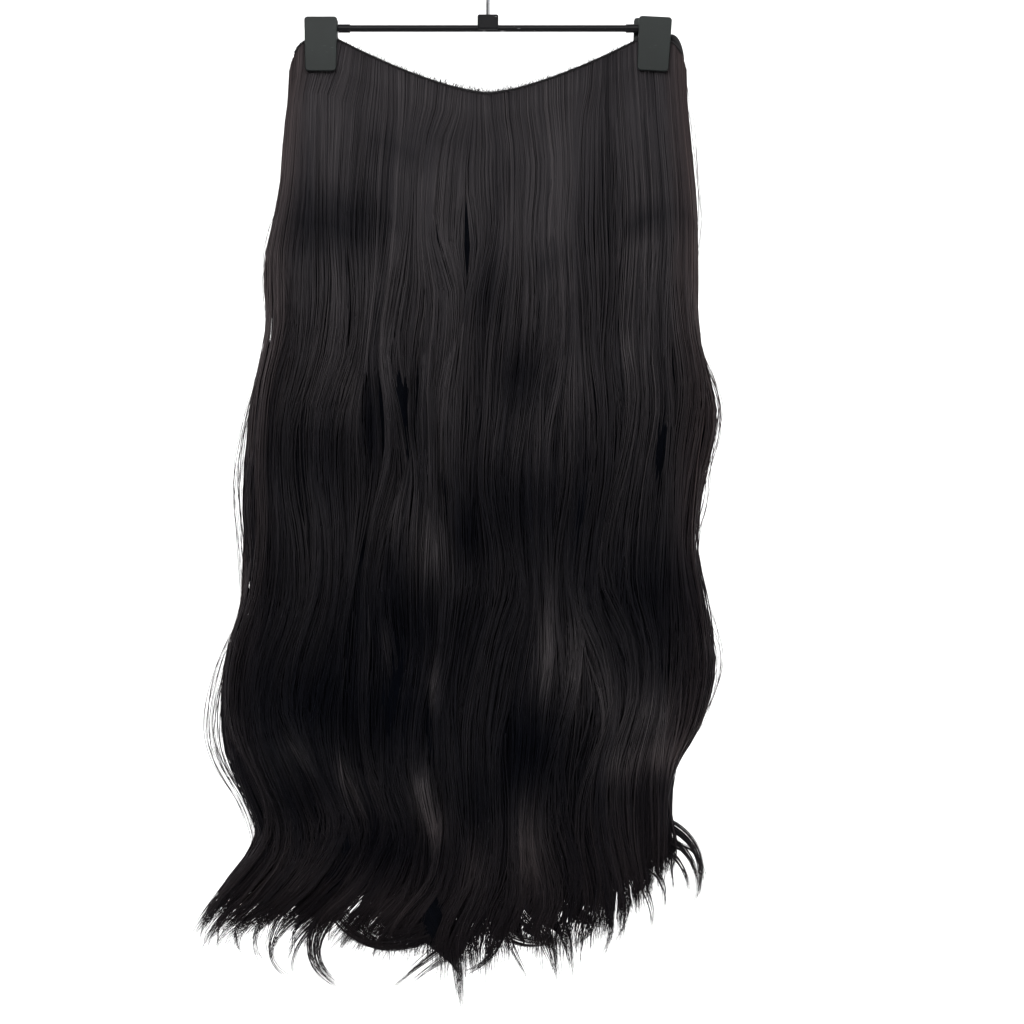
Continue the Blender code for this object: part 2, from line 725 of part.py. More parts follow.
def main():
    clear_scene()
    part = new_collection("Hair extension on clip hanger")
    cutters = new_collection("Cutters and guides")

    hair_finish = make_material("Dark brown hair", (0.020, 0.016, 0.015), 0.42)
    weft_finish = make_material("Dark sewn band", (0.012, 0.011, 0.011), 0.85)
    snap_finish = make_material("Black enamelled clip", (0.015, 0.014, 0.014), 0.35, 0.6)
    plastic_finish = make_material("Dark grey plastic", (0.040, 0.050, 0.046), 0.45)
    bar_finish = make_material("Black lacquered bar", (0.010, 0.010, 0.011), 0.35)
    steel_finish = make_material("Bright steel", (0.60, 0.60, 0.60), 0.28, 1.0)

    make_hair(part, cutters, hair_finish)
    make_weft_band(part, weft_finish)
    make_snap_clips(part, cutters, snap_finish)
    make_bar(part, cutters, bar_finish)
    make_hook(part, steel_finish)
    make_hanger_clip("left", -CLIP_SPACING / 2, 0.0, 0.0, part, plastic_finish, steel_finish)
    make_hanger_clip("right", CLIP_SPACING / 2, RIGHT_CLIP_TILT_DEG, RIGHT_BACK_JAW_SHIFT,
                     part, plastic_finish, steel_finish)


main()
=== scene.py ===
"""Fine hair, stitching and finishes for a clip-in hair extension on a clip hanger.

Metres, +Z up, in the frame's own place: the origin is the inside top of the hanger's
hook, the hair faces -Y and falls along -Z.  The hair flows as one wavy mass.  Every
strand has a place across it, from 0 at its left edge to 1 at its right, and keeps it
between the guide strands below, until its clump draws together at the end.
"""

import math

import bpy
import numpy as np
from bpy.props import FloatProperty, FloatVectorProperty, IntProperty, PointerProperty
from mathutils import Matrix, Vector


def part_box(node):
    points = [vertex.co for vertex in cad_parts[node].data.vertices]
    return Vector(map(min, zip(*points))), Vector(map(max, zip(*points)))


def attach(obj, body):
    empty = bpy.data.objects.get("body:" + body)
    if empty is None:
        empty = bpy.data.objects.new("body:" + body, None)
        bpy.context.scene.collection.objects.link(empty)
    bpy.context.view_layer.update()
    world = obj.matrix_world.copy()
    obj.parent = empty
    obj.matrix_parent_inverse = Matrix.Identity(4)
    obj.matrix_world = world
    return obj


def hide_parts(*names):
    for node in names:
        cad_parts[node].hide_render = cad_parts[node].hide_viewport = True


bl_info = {
    "name": "Hair extension finishes",
    "version": (1, 0, 0),
    "blender": (4, 5, 0),
    "location": "3D View > Sidebar > Hair extension",
    "description": "Grows the hair of a clip-in extension and finishes its weft and hanger",
    "category": "Object",
}

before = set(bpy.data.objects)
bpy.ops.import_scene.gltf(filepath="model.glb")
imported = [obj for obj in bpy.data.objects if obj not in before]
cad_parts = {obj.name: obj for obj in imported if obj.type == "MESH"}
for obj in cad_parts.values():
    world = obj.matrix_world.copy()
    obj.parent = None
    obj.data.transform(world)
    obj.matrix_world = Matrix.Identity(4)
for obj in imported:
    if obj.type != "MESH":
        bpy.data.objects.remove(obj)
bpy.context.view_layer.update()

# Sizes that the hair's form shares with the solid it stands for
GAP = 0.0003
WEFT_HEIGHT = 0.014
WEFT_SEAM = 0.0012
WEFT_END_DROOP = 0.021
SAG_POWER = 1.45
DROOP_POWER = 7.0
BAND_REACH_SHARE = 0.972
ROOT_FALL = 0.027
FULL_FALL = 0.22
PARTED_SHARE = 2.5
HAIR_FRONT = 0.023
HAIR_BACK = 0.019
WAVE_PITCH = 0.164
SWELL_SHARE = 0.10
OVERLAP_SHARE = 1.50
HALF_LOCK_SHARE = 0.34
GATHER_SHARE = 0.55
TIP_START_SHARE = 0.84
TAPER_START_SHARE = 0.87
TAPER_POWER = 0.55
TIP_SHARE = 0.05
SLOPED_SHARE = 0.20

# Places read from the frame
BAND_LOW, BAND_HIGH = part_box("weft_band")
HAIR_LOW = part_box("hair")[0]
JAW_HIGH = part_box("left_front_jaw")[1]
WEFT_LINE_Z = BAND_HIGH.z
WEFT_SAG = BAND_HIGH.z - BAND_LOW.z - WEFT_HEIGHT
HALF_SPAN = BAND_HIGH.x / BAND_REACH_SHARE
HAIR_DROP = WEFT_LINE_Z - HAIR_LOW.z
GRIP_REACH = -JAW_HIGH.x
ROOT_FRONT = JAW_HIGH.y + GAP
ROOT_BACK = BAND_LOW.y - GAP
ROOT_THICKNESS = ROOT_BACK - ROOT_FRONT

# Painted shade on the strands: how light the lowest hair is painted beside the highest,
# in place of the key light's fall down the hair, the drops between which it fades, and how
# much lighter a hill is painted, and a hollow darker, for each metre of its rise
LOW_PAINTED_SHADE = 0.36
FADE_START, FADE_END = 0.20, 0.66
PAINTED_SHADE_PER_RISE = 450.0
# Painted shade for the deepest clumps, which lie in the others' shadow: how light they are painted beside
# the others, and the drops where that sets in
DEEP_PAINTED_SHADE = 0.55
DEEP_START, DEEP_END = 0.03, 0.16
# Share of a hill's rise that moves the strands themselves
RISE_DEPTH = 0.6
# Half depth and half height of a stitch over the weft's edge
STITCH_DEPTH = 0.0043
STITCH_HEIGHT = 0.0011
# How far the snap clips' top edge lies below the weft's top
CLIP_TOP_DROP = 0.0020

# Outline rows: drop below the clip line, as a share of the longest drop, and the
# left and right edge of the hair, as shares of half the weft's span
OUTLINE = (
    # drop, left, right
    (0.000, 1.000, 1.000),
    (0.032, 1.008, 1.000),
    (0.094, 1.028, 1.018),
    (0.167, 1.053, 1.048),
    (0.239, 1.118, 1.053),
    (0.312, 1.113, 1.068),
    (0.384, 1.195, 1.150),
    (0.457, 1.235, 1.092),
    (0.529, 1.220, 1.043),
    (0.601, 1.239, 1.120),
    (0.648, 1.305, 1.144),
    (0.705, 1.340, 1.068),
    (0.746, 1.310, 0.947),
    (0.798, 1.189, 0.912),
    (0.840, 1.179, 0.927),
    (0.881, 1.320, 0.877),
)

# Locks under the strands, as in the solid: place across from the left edge to the
# right; the drop at which the lock swings furthest right and the size of that swing;
# where its tip ends, across as a share of half the weft's span and down as a share of
# the longest drop; and how far the tip hooks sideways before it ends
FRONT_LOCKS = (
    # place, crest, swing, tip_across, tip_drop, hook
    (0.000, 0.350, 0.000, -1.450, 0.926, 0.190),
    (0.091, 0.350, 0.010, -1.270, 0.945, 0.120),
    (0.182, 0.340, 0.020, -1.020, 0.958, 0.060),
    (0.273, 0.440, 0.075, -0.740, 0.948, -0.050),
    (0.364, 0.250, 0.050, -0.430, 0.968, 0.050),
    (0.455, 0.520, 0.045, -0.130, 1.000, 0.000),
    (0.545, 0.525, 0.075, 0.060, 0.945, 0.030),
    (0.636, 0.525, 0.070, 0.230, 0.970, -0.030),
    (0.727, 0.490, 0.070, 0.420, 0.964, -0.040),
    (0.818, 0.470, 0.060, 0.620, 0.940, -0.050),
    (0.909, 0.440, 0.040, 0.840, 0.912, -0.040),
    (1.000, 0.380, 0.000, 1.060, 0.872, -0.140),
)
BACK_LOCKS = (
    # place, crest, swing, tip_across, tip_drop, hook
    (0.050, 0.360, 0.020, -1.330, 0.915, 0.040),
    (0.165, 0.390, 0.040, -1.120, 0.940, 0.050),
    (0.280, 0.330, 0.050, -0.880, 0.935, 0.040),
    (0.395, 0.470, 0.050, -0.560, 0.950, 0.050),
    (0.510, 0.400, 0.040, -0.280, 0.960, 0.040),
    (0.625, 0.460, 0.050, 0.020, 0.958, 0.030),
    (0.740, 0.420, 0.050, 0.320, 0.945, -0.030),
    (0.855, 0.500, 0.040, 0.700, 0.925, -0.040),
    (0.960, 0.400, 0.020, 0.930, 0.880, -0.040),
)

# Rows that carry the outline on to the ends of the strands
OUTLINE_ENDS = (
    # drop, left, right
    (0.905, 1.400, 0.880),
    (0.925, 1.460, 0.920),
    (0.943, 1.480, 0.960),
    (0.995, 1.470, 1.040),
)

# Guide strands between the two edges, set out from the photograph's waves: how
# far across each of the twelve lies at a drop, as a share of half the weft's span
GUIDES = (
    # drop, then the guides from left to right
    (0.000, -0.86, -0.68, -0.46, -0.37, -0.24, 0.03, 0.17, 0.31, 0.42, 0.48, 0.68, 0.90),
    (0.074, -0.81, -0.66, -0.46, -0.37, -0.24, 0.04, 0.18, 0.32, 0.42, 0.47, 0.69, 0.90),
    (0.136, -0.81, -0.68, -0.49, -0.40, -0.26, 0.02, 0.21, 0.34, 0.43, 0.46, 0.71, 0.92),
    (0.198, -0.81, -0.70, -0.50, -0.41, -0.27, 0.03, 0.19, 0.32, 0.42, 0.45, 0.72, 0.93),
    (0.260, -0.80, -0.68, -0.53, -0.45, -0.19, -0.03, 0.20, 0.34, 0.44, 0.47, 0.70, 0.92),
    (0.322, -0.84, -0.68, -0.57, -0.49, -0.20, -0.06, 0.17, 0.33, 0.44, 0.48, 0.68, 0.93),
    (0.384, -0.92, -0.77, -0.57, -0.44, -0.25, -0.06, 0.14, 0.27, 0.41, 0.51, 0.71, 0.95),
    (0.446, -0.92, -0.79, -0.57, -0.41, -0.25, -0.09, 0.11, 0.25, 0.40, 0.50, 0.68, 0.91),
    (0.509, -0.88, -0.75, -0.63, -0.48, -0.24, -0.08, 0.14, 0.25, 0.37, 0.46, 0.60, 0.90),
    (0.571, -0.90, -0.76, -0.67, -0.51, -0.24, -0.07, 0.18, 0.26, 0.37, 0.44, 0.58, 0.90),
    (0.633, -1.01, -0.83, -0.69, -0.48, -0.26, -0.13, 0.08, 0.26, 0.40, 0.55, 0.70, 0.92),
    (0.695, -1.03, -0.89, -0.70, -0.50, -0.31, -0.18, 0.02, 0.23, 0.40, 0.59, 0.71, 0.91),
    (0.757, -0.88, -0.81, -0.68, -0.49, -0.32, -0.17, 0.01, 0.20, 0.33, 0.53, 0.62, 0.87),
    (0.819, -0.80, -0.72, -0.59, -0.40, -0.27, -0.15, 0.03, 0.18, 0.31, 0.52, 0.62, 0.86),
    (0.881, -1.01, -0.89, -0.74, -0.52, -0.30, -0.20, -0.02, 0.20, 0.38, 0.57, 0.70, 0.83),
    (0.915, -1.23, -1.08, -0.91, -0.69, -0.45, -0.30, -0.10, 0.13, 0.31, 0.54, 0.70, 0.85),
    (0.943, -1.31, -1.14, -0.97, -0.77, -0.53, -0.36, -0.14, 0.11, 0.31, 0.52, 0.70, 0.87),
    (0.995, -1.27, -1.09, -0.92, -0.73, -0.51, -0.35, -0.14, 0.12, 0.33, 0.53, 0.71, 0.91),
)
# Drop above which a guide's mean share of the width gives its place
GUIDE_PLACES_END = 0.90

# Drop at which the strands end, by their place, and how much further the wisps reach
ENDS = (
    # place, drop, wisp
    (0.000, 0.922, 0.022),
    (0.060, 0.928, 0.024),
    (0.132, 0.926, 0.028),
    (0.192, 0.930, 0.028),
    (0.266, 0.930, 0.030),
    (0.329, 0.942, 0.012),
    (0.372, 0.948, 0.003),
    (0.415, 0.950, 0.002),
    (0.457, 0.950, 0.002),
    (0.499, 0.951, 0.006),
    (0.540, 0.962, 0.018),
    (0.586, 0.972, 0.022),
    (0.620, 0.968, 0.012),
    (0.654, 0.952, 0.006),
    (0.710, 0.954, 0.020),
    (0.758, 0.943, 0.014),
    (0.790, 0.926, 0.022),
    (0.836, 0.912, 0.024),
    (0.900, 0.893, 0.024),
    (0.940, 0.880, 0.022),
    (1.000, 0.866, 0.016),
)
# Share of the clumps that reach on as wisps
WISP_SHARE = 0.20

# Partings where the front strands open and meet again.  The place of the line that they
# open round, the drops where they part and meet, how far they move as a share of the
# hair's width, how far from the line they still move, and where they are furthest
# apart: below 1 the parting is wide near its top, above 1 near its bottom
PARTINGS = (
    # place, top, bottom, gap, reach, skew
    (0.460, 0.150, 0.262, 0.013, 0.05, 1.70),
    (0.255, 0.345, 0.450, 0.013, 0.04, 0.80),
    (0.508, 0.480, 0.560, 0.013, 0.04, 1.00),
    (0.735, 0.640, 0.780, 0.018, 0.06, 0.90),
    (0.385, 0.370, 0.450, 0.009, 0.04, 0.80),
    (0.620, 0.690, 0.770, 0.010, 0.05, 1.00),
)
# Share of the width beside each edge where the partings' push dies away
EDGE_STILL = 0.12
# Share of the width beside each edge over which the strands turn round the hair's side
SIDE_SHARE = 0.035

# Share of a lock's length where the fill under its strands ends
UNDER_END = 0.962
# Width and depth of the fill as shares of the lock that it stands for, and the width of
# the two outer locks beside the others
UNDER_WIDTH_SHARE = 0.90
UNDER_DEPTH_SHARE = 0.72
EDGE_LOCK_SHARE = 0.84
# Height of the fill's ridges as a share of its radius, where along it the fill begins to
# close, and its slimness at the root with where that ends
UNDER_RIDGE = 0.035
UNDER_CLOSING = 0.90
UNDER_ROOT_SLIM = 0.35
UNDER_SLIM_END = 0.14
UNDER_LOCKS = (
    # name, locks, side, steps, sides
    ("under_locks_front", FRONT_LOCKS, -1, 44, 28),
    ("under_locks_back", BACK_LOCKS, 1, 40, 24),
)

# Hills and hollows of the front surface: where they lie across, as a share of half the
# weft's span, and down, as a share of the longest drop; half their size in the same
# shares; and how far they stand forward.  The front strands move by part of the rise,
# and the whole rise paints the hills lighter and the hollows darker: painted highlight
# and painted shade on the hair
HILLS_AND_PAINTED_SHADE = (
    # across, drop, half_width, half_height, rise
    (-0.76, 0.192, 0.26, 0.033, -0.0031),
    (0.84, 0.192, 0.25, 0.010, -0.0020),
    (0.26, 0.231, 0.14, 0.008, -0.0013),
    (-0.40, 0.112, 0.25, 0.020, -0.0013),
    (0.01, 0.265, 0.09, 0.036, -0.0016),
    (0.17, 0.351, 0.13, 0.033, -0.0027),
    (-0.58, 0.400, 0.05, 0.041, -0.0026),
    (-0.86, 0.434, 0.21, 0.047, -0.0020),
    (-0.43, 0.400, 0.10, 0.026, -0.0012),
    (0.16, 0.482, 0.30, 0.047, -0.0024),
    (-0.11, 0.514, 0.06, 0.026, -0.0026),
    (0.82, 0.570, 0.25, 0.043, -0.0020),
    (-0.44, 0.601, 0.28, 0.047, -0.0025),
    (-0.85, 0.684, 0.30, 0.047, -0.0030),
    (-0.47, 0.700, 0.18, 0.036, -0.0022),
    (0.20, 0.731, 0.12, 0.039, -0.0045),
    (-0.95, 0.785, 0.13, 0.019, -0.0020),
    (-0.52, 0.834, 0.23, 0.029, -0.0029),
    (-0.05, 0.788, 0.09, 0.031, -0.0018),
    (-0.80, 0.770, 0.08, 0.018, -0.0012),
    (0.11, 0.767, 0.07, 0.020, -0.0010),
    (0.11, 0.146, 0.08, 0.020, -0.0005),
    (0.86, 0.080, 0.30, 0.075, -0.0004),
    (-0.11, 0.172, 0.03, 0.023, 0.0010),
    (-0.47, 0.213, 0.09, 0.026, 0.0006),
    (-0.70, 0.369, 0.06, 0.029, 0.0012),
    (0.44, 0.363, 0.11, 0.031, 0.0010),
    (0.70, 0.330, 0.04, 0.019, 0.0012),
    (-0.47, 0.493, 0.09, 0.023, 0.0015),
    (-0.29, 0.529, 0.09, 0.036, 0.0026),
    (-0.50, 0.622, 0.03, 0.023, 0.0028),
    (-0.27, 0.669, 0.03, 0.021, 0.0028),
    (0.29, 0.632, 0.05, 0.052, 0.0036),
    (0.44, 0.648, 0.08, 0.057, 0.0034),
    (0.59, 0.679, 0.09, 0.052, 0.0026),
    (0.84, 0.700, 0.17, 0.031, 0.0030),
    (0.89, 0.738, 0.13, 0.015, 0.0034),
    (0.67, 0.749, 0.14, 0.017, 0.0024),
    (-0.96, 0.734, 0.07, 0.010, 0.0022),
    (-0.72, 0.759, 0.04, 0.015, 0.0034),
    (-0.66, 0.777, 0.03, 0.013, 0.0026),
    (-0.32, 0.777, 0.06, 0.023, 0.0036),
    (-0.26, 0.811, 0.06, 0.019, 0.0036),
    (0.21, 0.834, 0.08, 0.047, 0.0024),
    (-0.06, 0.860, 0.07, 0.023, 0.0016),
    (-1.02, 0.855, 0.13, 0.019, 0.0010),
    (-1.21, 0.883, 0.10, 0.012, 0.0010),
    (-0.49, 0.896, 0.18, 0.012, 0.0012),
    (0.80, 0.229, 0.22, 0.020, 0.0004),
    (-0.12, 0.560, 0.08, 0.024, 0.0009),
    (0.56, 0.602, 0.10, 0.024, 0.0008),
)

# Curls at the ends: start, bend and end, each across as a share of half the weft's span
# and down as a share of the longest drop; half width at the start; and strands in it
CURLS = (
    # start, bend, end, half_width, count
    (-1.140, 0.858, -1.340, 0.883, -1.480, 0.929, 0.0060, 24),
    (-1.100, 0.876, -1.320, 0.897, -1.430, 0.940, 0.0052, 18),
    (-1.040, 0.886, -1.260, 0.907, -1.370, 0.937, 0.0042, 14),
    (-1.000, 0.892, -1.290, 0.910, -1.245, 0.945, 0.0036, 14),
    (-1.180, 0.892, -1.340, 0.929, -1.200, 0.951, 0.0022, 9),
    (-1.090, 0.897, -1.235, 0.936, -1.105, 0.958, 0.0024, 9),
    (-1.000, 0.897, -1.190, 0.953, -0.975, 0.971, 0.0026, 10),
    (-0.870, 0.897, -1.090, 0.918, -1.090, 0.953, 0.0042, 16),
    (-0.800, 0.897, -1.000, 0.923, -1.010, 0.956, 0.0036, 14),
    (-0.770, 0.897, -1.030, 0.938, -0.967, 0.969, 0.0022, 9),
    (-0.720, 0.907, -0.920, 0.918, -0.930, 0.944, 0.0026, 10),
    (-0.690, 0.880, -1.030, 0.943, -0.735, 0.980, 0.0075, 70),
    (-0.240, 0.913, -0.520, 0.957, -0.760, 0.915, 0.0070, 60),
    (-0.180, 0.905, -0.450, 0.948, -0.700, 0.905, 0.0070, 40),
    (0.060, 0.920, 0.230, 0.946, 0.420, 0.922, 0.0045, 34),
    (-0.520, 0.862, -0.600, 0.900, -0.740, 0.940, 0.0075, 56),
    (-0.400, 0.870, -0.440, 0.910, -0.580, 0.946, 0.0075, 50),
    (-0.280, 0.862, -0.270, 0.900, -0.360, 0.944, 0.0065, 44),
    (-0.790, 0.890, -0.640, 0.947, -0.340, 0.937, 0.0065, 50),
    (0.110, 0.885, 0.220, 0.928, 0.380, 0.935, 0.0060, 40),
    (0.340, 0.880, 0.450, 0.915, 0.600, 0.915, 0.0060, 36),
    (-0.240, 0.918, -0.440, 0.948, -0.720, 0.925, 0.0060, 34),
    (-0.140, 0.927, -0.290, 0.943, -0.485, 0.981, 0.0048, 22),
    (-0.115, 0.938, -0.265, 0.954, -0.395, 0.976, 0.0034, 14),
    (-0.165, 0.912, -0.150, 0.958, -0.130, 1.003, 0.0060, 32),
    (-0.090, 0.917, -0.060, 0.954, -0.082, 0.967, 0.0052, 16),
    (0.070, 0.897, 0.080, 0.949, -0.110, 0.965, 0.0042, 36),
    (0.100, 0.927, 0.135, 0.949, 0.210, 0.975, 0.0022, 7),
    (0.262, 0.917, 0.322, 0.943, 0.348, 0.972, 0.0060, 28),
    (0.360, 0.912, 0.413, 0.938, 0.428, 0.971, 0.0042, 18),
    (0.180, 0.917, 0.290, 0.928, 0.380, 0.949, 0.0036, 14),
    (0.413, 0.897, 0.640, 0.918, 0.390, 0.938, 0.0026, 16),
    (0.564, 0.881, 0.675, 0.912, 0.574, 0.948, 0.0030, 14),
    (0.690, 0.881, 0.725, 0.907, 0.625, 0.938, 0.0026, 11),
    (0.765, 0.871, 0.841, 0.897, 0.816, 0.923, 0.0026, 11),
    (0.841, 0.861, 0.907, 0.876, 0.882, 0.900, 0.0026, 12),
    (0.907, 0.840, 0.927, 0.861, 0.927, 0.883, 0.0022, 9),
    (0.905, 0.812, 1.130, 0.834, 1.045, 0.892, 0.0036, 44),
    (0.890, 0.826, 1.050, 0.838, 1.055, 0.880, 0.0026, 30),
    (0.890, 0.838, 0.985, 0.848, 1.015, 0.882, 0.0020, 20),
    (0.900, 0.830, 1.090, 0.832, 1.085, 0.872, 0.0010, 10),
)

# Single strands that stand off the hair's edges: side, drops where they leave and
# return, how far they stand off and how many there are
LOOSE_EDGES = (
    # side, top, bottom, stand_off, count
    (-1, 0.330, 0.620, 0.0060, 12),
    (-1, 0.570, 0.850, 0.0115, 16),
    (-1, 0.620, 0.860, 0.0060, 10),
    (-1, 0.130, 0.330, 0.0030, 6),
    (1, 0.030, 0.260, 0.0050, 4),
    (1, 0.300, 0.480, 0.0050, 10),
    (1, 0.420, 0.560, 0.0040, 6),
    (1, 0.580, 0.740, 0.0045, 8),
)

# Rolled right end of the weft: across and up from the corner of the clip line, and the
# roll's half thickness
ROLL = (
    # across, up, half_width
    (0.906, 0.0004, 0.0014),
    (0.922, 0.0010, 0.0020),
    (0.938, -0.0006, 0.0025),
    (0.954, -0.0045, 0.0026),
    (0.969, -0.0105, 0.0022),
    (0.981, -0.0175, 0.0012),
)

# Stations along one strand of each kind, and the pieces that the front is split in
FRONT_STEPS, BACK_STEPS, END_STEPS, CURL_STEPS, LOOSE_STEPS = 38, 26, 12, 11, 30
FRONT_PIECES = 4
# Thickness of the back's strands beside the front's, and how light the back and the ends
# are painted beside the front: darker copies of the same hair, as painted shade
BACK_THICKNESS = 1.4
DARKER_BY_PAINTED_SHADE = 0.9
# A strand's stations lie closer towards its end by this power.  It is slimmer at the root
# and at the end: its width there, and the shares of its length where that ends and begins
STATION_POWER = 1.15
ROOT_WIDTH, ROOT_SLIM_END = 0.8, 0.08
END_WIDTH, END_SLIM_START = 0.16, 0.93
# Where along its lock a short strand of the ends starts, its thickness beside a front
# strand's, and how much higher or lower it ends
END_START = (0.62, 0.80)
END_THICKNESS = (0.7, 1.3)
END_SHIFT = (-0.012, 0.010)
# Strands for each one counted in a curl, how much of the curl each one follows, their
# thickness beside a front strand's, and their tone
CURL_FILL = 1.3
CURL_REACH = (0.72, 1.0)
CURL_THICKNESS = (0.35, 0.80)
CURL_TONE = (0.10, 0.30)
# How far a curl's strands draw together, how far they fray at its end, and how far back
# they lie from the hair's front
CURL_CLOSING = 0.90
CURL_FRAY = 0.0020
CURL_LIFT = (-0.003, 0.006)
# Single strands off the edges: how far their ends shift as a share of the longest drop,
# which share of the row's distance they stand off, their ripple, how far they tuck in
# behind the edge, and which share of the hair's depth they lie at
LOOSE_SHIFT = (-0.02, 0.02)
LOOSE_LEVELS = (0.15, 1.0)
LOOSE_RIPPLE = 0.0008
LOOSE_TUCK = 0.003
LOOSE_DEPTHS = (0.25, 0.7)
LOOSE_THICKNESS = (0.6, 1.0)
LOOSE_TONE = (0.25, 0.70)
# Where along a strand its clump starts to draw together, and where its end hooks aside
GATHER_START = 0.86
HOOK_START = 0.84
# Corners of one strand, and its depth beside its width
STRAND_SIDES = 3
STRAND_DEPTH = 0.8

# Short hair ends on the weft: where they stand as shares of half its span, their length,
# and their half width at the root and at the end
FUZZ_SPAN = (-1.03, 0.93)
FUZZ_LENGTH = (0.0014, 0.0042)
FUZZ_HALF_WIDTH = (0.00017, 0.00005)
# How far the cords on the weft's edge stand off its front and its back
FRONT_CORD_OFF = 0.0004
BACK_CORD_OFF = 0.0006
# Depth of a cord beside its width
CORD_DEPTH = 0.75
# Where along each snap clip its thread loops lie
CLIP_LOOPS = (0.14, 0.32, 0.50, 0.68, 0.86)

# Names of the hanger's and the weft's own pieces in the frame
JAWS = ("left_front_jaw", "left_back_jaw", "right_front_jaw", "right_back_jaw")
SPRINGS = ("left_clip_spring", "right_clip_spring")
SNAP_CLIPS = tuple(f"snap_clip_{number}" for number in range(1, 6))

# Scales of the finishes' grain and streaks, one for all axes or one for each
JAW_GRAIN = 900.0
JAW_BLOTCHES = 60.0
JAW_SCUFFS = (220.0, 220.0, 900.0)
PAINT_GRAIN = 400.0
CLIP_CHIPS = 500.0
BAR_CHIPS = (120.0, 500.0, 500.0)
SPRING_STREAKS = (1500.0, 1500.0, 60.0)
WIRE_STREAKS = 300.0
THREAD_FIBRES = 2600.0
PAPER_CLOUDS = 2.0
UNDER_STREAKS = (1600.0, 1600.0, 14.0)
TAPE_THREADS = (("X", 330.0), ("Z", 420.0))
# Colours that no setting gives
BARE_STEEL = (0.55, 0.55, 0.56)
SPRING_STEEL = (0.52, 0.52, 0.53)
CHROME = (0.66, 0.66, 0.68)
CLIP_ENAMEL = (0.008, 0.008, 0.009)
TAPE = (0.006, 0.006, 0.007)
TAPE_DARK = (0.0035, 0.0035, 0.004)
TAPE_LIGHT = (0.016, 0.015, 0.016)
PAPER = (0.93, 0.93, 0.93)
PAPER_DARK = (0.92, 0.92, 0.92)
PAPER_LIGHT = (0.94, 0.94, 0.94)

# Backdrop: how far its floor lies below the hair, its near and far edge, the radius of
# the bend between floor and wall, half its width and the wall's height
FLOOR_DROP = 0.25
PAPER_NEAR = -1.3
PAPER_FAR = 1.3
PAPER_BEND = 0.7
PAPER_HALF_WIDTH = 2.6
PAPER_HEIGHT = 4.0
LIGHTS = (
    # name, place, target or none for the picture's middle, size, setting for the power
    ("key_light", (-0.12, -0.95, 0.42), (0.0, 0.0, -0.25), (0.9, 0.5), "key_power"),
    ("fill_light", (1.9, -1.5, 0.1), None, (1.0, 1.6), "fill_power"),
    ("backdrop_light_left", (-1.9, 0.0, 1.2), (0.0, PAPER_FAR, -0.3), (0.8, 1.6), "backdrop_power"),
    ("backdrop_light_right", (1.9, 0.0, 1.2), (0.0, PAPER_FAR, -0.3), (0.8, 1.6), "backdrop_power"),
)


def mix(first, second, share):
    """A value that goes from the first at share 0 to the second at share 1."""
    return first + (second - first) * share


def draw(rng, count, low, high, power=1.0):
    """A column of random values between low and high; a power over 1 favours the low."""
    return mix(low, high, rng.random(count) ** power)[:, None]


def smooth_share(low, high, value):
    """0 below low, 1 above high and an easy S between them."""
    share = np.clip((value - low) / (high - low), 0.0, 1.0)
    return share * share * (3.0 - 2.0 * share)


def read_row(rows, value, column):
    """A table's column at any value of its first column, on a cubic through its rows."""
    table = np.array(rows)
    keys, heights = table[:, 0], table[:, column]
    value = np.clip(value, keys[0], keys[-1])
    last = len(keys) - 1
    row = np.clip(np.searchsorted(keys, value) - 1, 0, last - 1)
    before, after = np.maximum(row - 1, 0), np.minimum(row + 2, last)
    step = keys[row + 1] - keys[row]
    share = (value - keys[row]) / step
    slope_in = (heights[row + 1] - heights[before]) / (keys[row + 1] - keys[before])
    slope_out = (heights[after] - heights[row]) / (keys[after] - keys[row])
    square, cube = share ** 2, share ** 3
    return ((2 * cube - 3 * square + 1) * heights[row]
            + (cube - 2 * square + share) * step * slope_in
            + (3 * square - 2 * cube) * heights[row + 1]
            + (cube - square) * step * slope_out)


# Weft line

def sag_line(x):
    """Height of the band's top edge: a power of the distance from the middle."""
    reach = np.minimum(np.abs(x) / GRIP_REACH, 1.0)
    return WEFT_LINE_Z - WEFT_SAG * (1.0 - reach ** SAG_POWER)


def weft_top(x):
    """Height of the weft's top edge, drooping round the corner past each clip."""
    past = (np.minimum(np.abs(x), HALF_SPAN) - GRIP_REACH) / (HALF_SPAN - GRIP_REACH)
    return sag_line(x) - WEFT_END_DROOP * np.maximum(past, 0.0) ** DROOP_POWER


# Meshes from arrays

def add_piece(name, points, face_groups, material, flow=None, tone=None):
    """A mesh piece from arrays: points, and groups of faces with the same corner count."""
    corners = np.concatenate([faces.ravel() for faces in face_groups])
    sizes = np.concatenate([np.full(len(faces), faces.shape[1]) for faces in face_groups])
    mesh = bpy.data.meshes.new(name)
    mesh.vertices.add(len(points))
    mesh.vertices.foreach_set("co", np.ascontiguousarray(points, np.float32).ravel())
    mesh.loops.add(len(corners))
    mesh.loops.foreach_set("vertex_index", corners.astype(np.int32))
    mesh.polygons.add(len(sizes))
    mesh.polygons.foreach_set("loop_start", (np.cumsum(sizes) - sizes).astype(np.int32))
    mesh.polygons.foreach_set("use_smooth", np.full(len(sizes), True))
    for layer_name, vectors in (("flow", flow), ("tone", tone)):
        if vectors is not None:
            layer = mesh.attributes.new(layer_name, "FLOAT_VECTOR", "POINT")
            layer.data.foreach_set("vector", np.ascontiguousarray(vectors, np.float32).ravel())
    mesh.update(calc_edges=True)
    mesh.validate()
    mesh.materials.append(material)
    piece = bpy.data.objects.new(name, mesh)
    bpy.context.scene.collection.objects.link(piece)
    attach(piece, "root")
    return piece


def unit(vectors):
    """The vectors at length one."""
    return vectors / np.maximum(np.linalg.norm(vectors, axis=-1, keepdims=True), 1e-9)


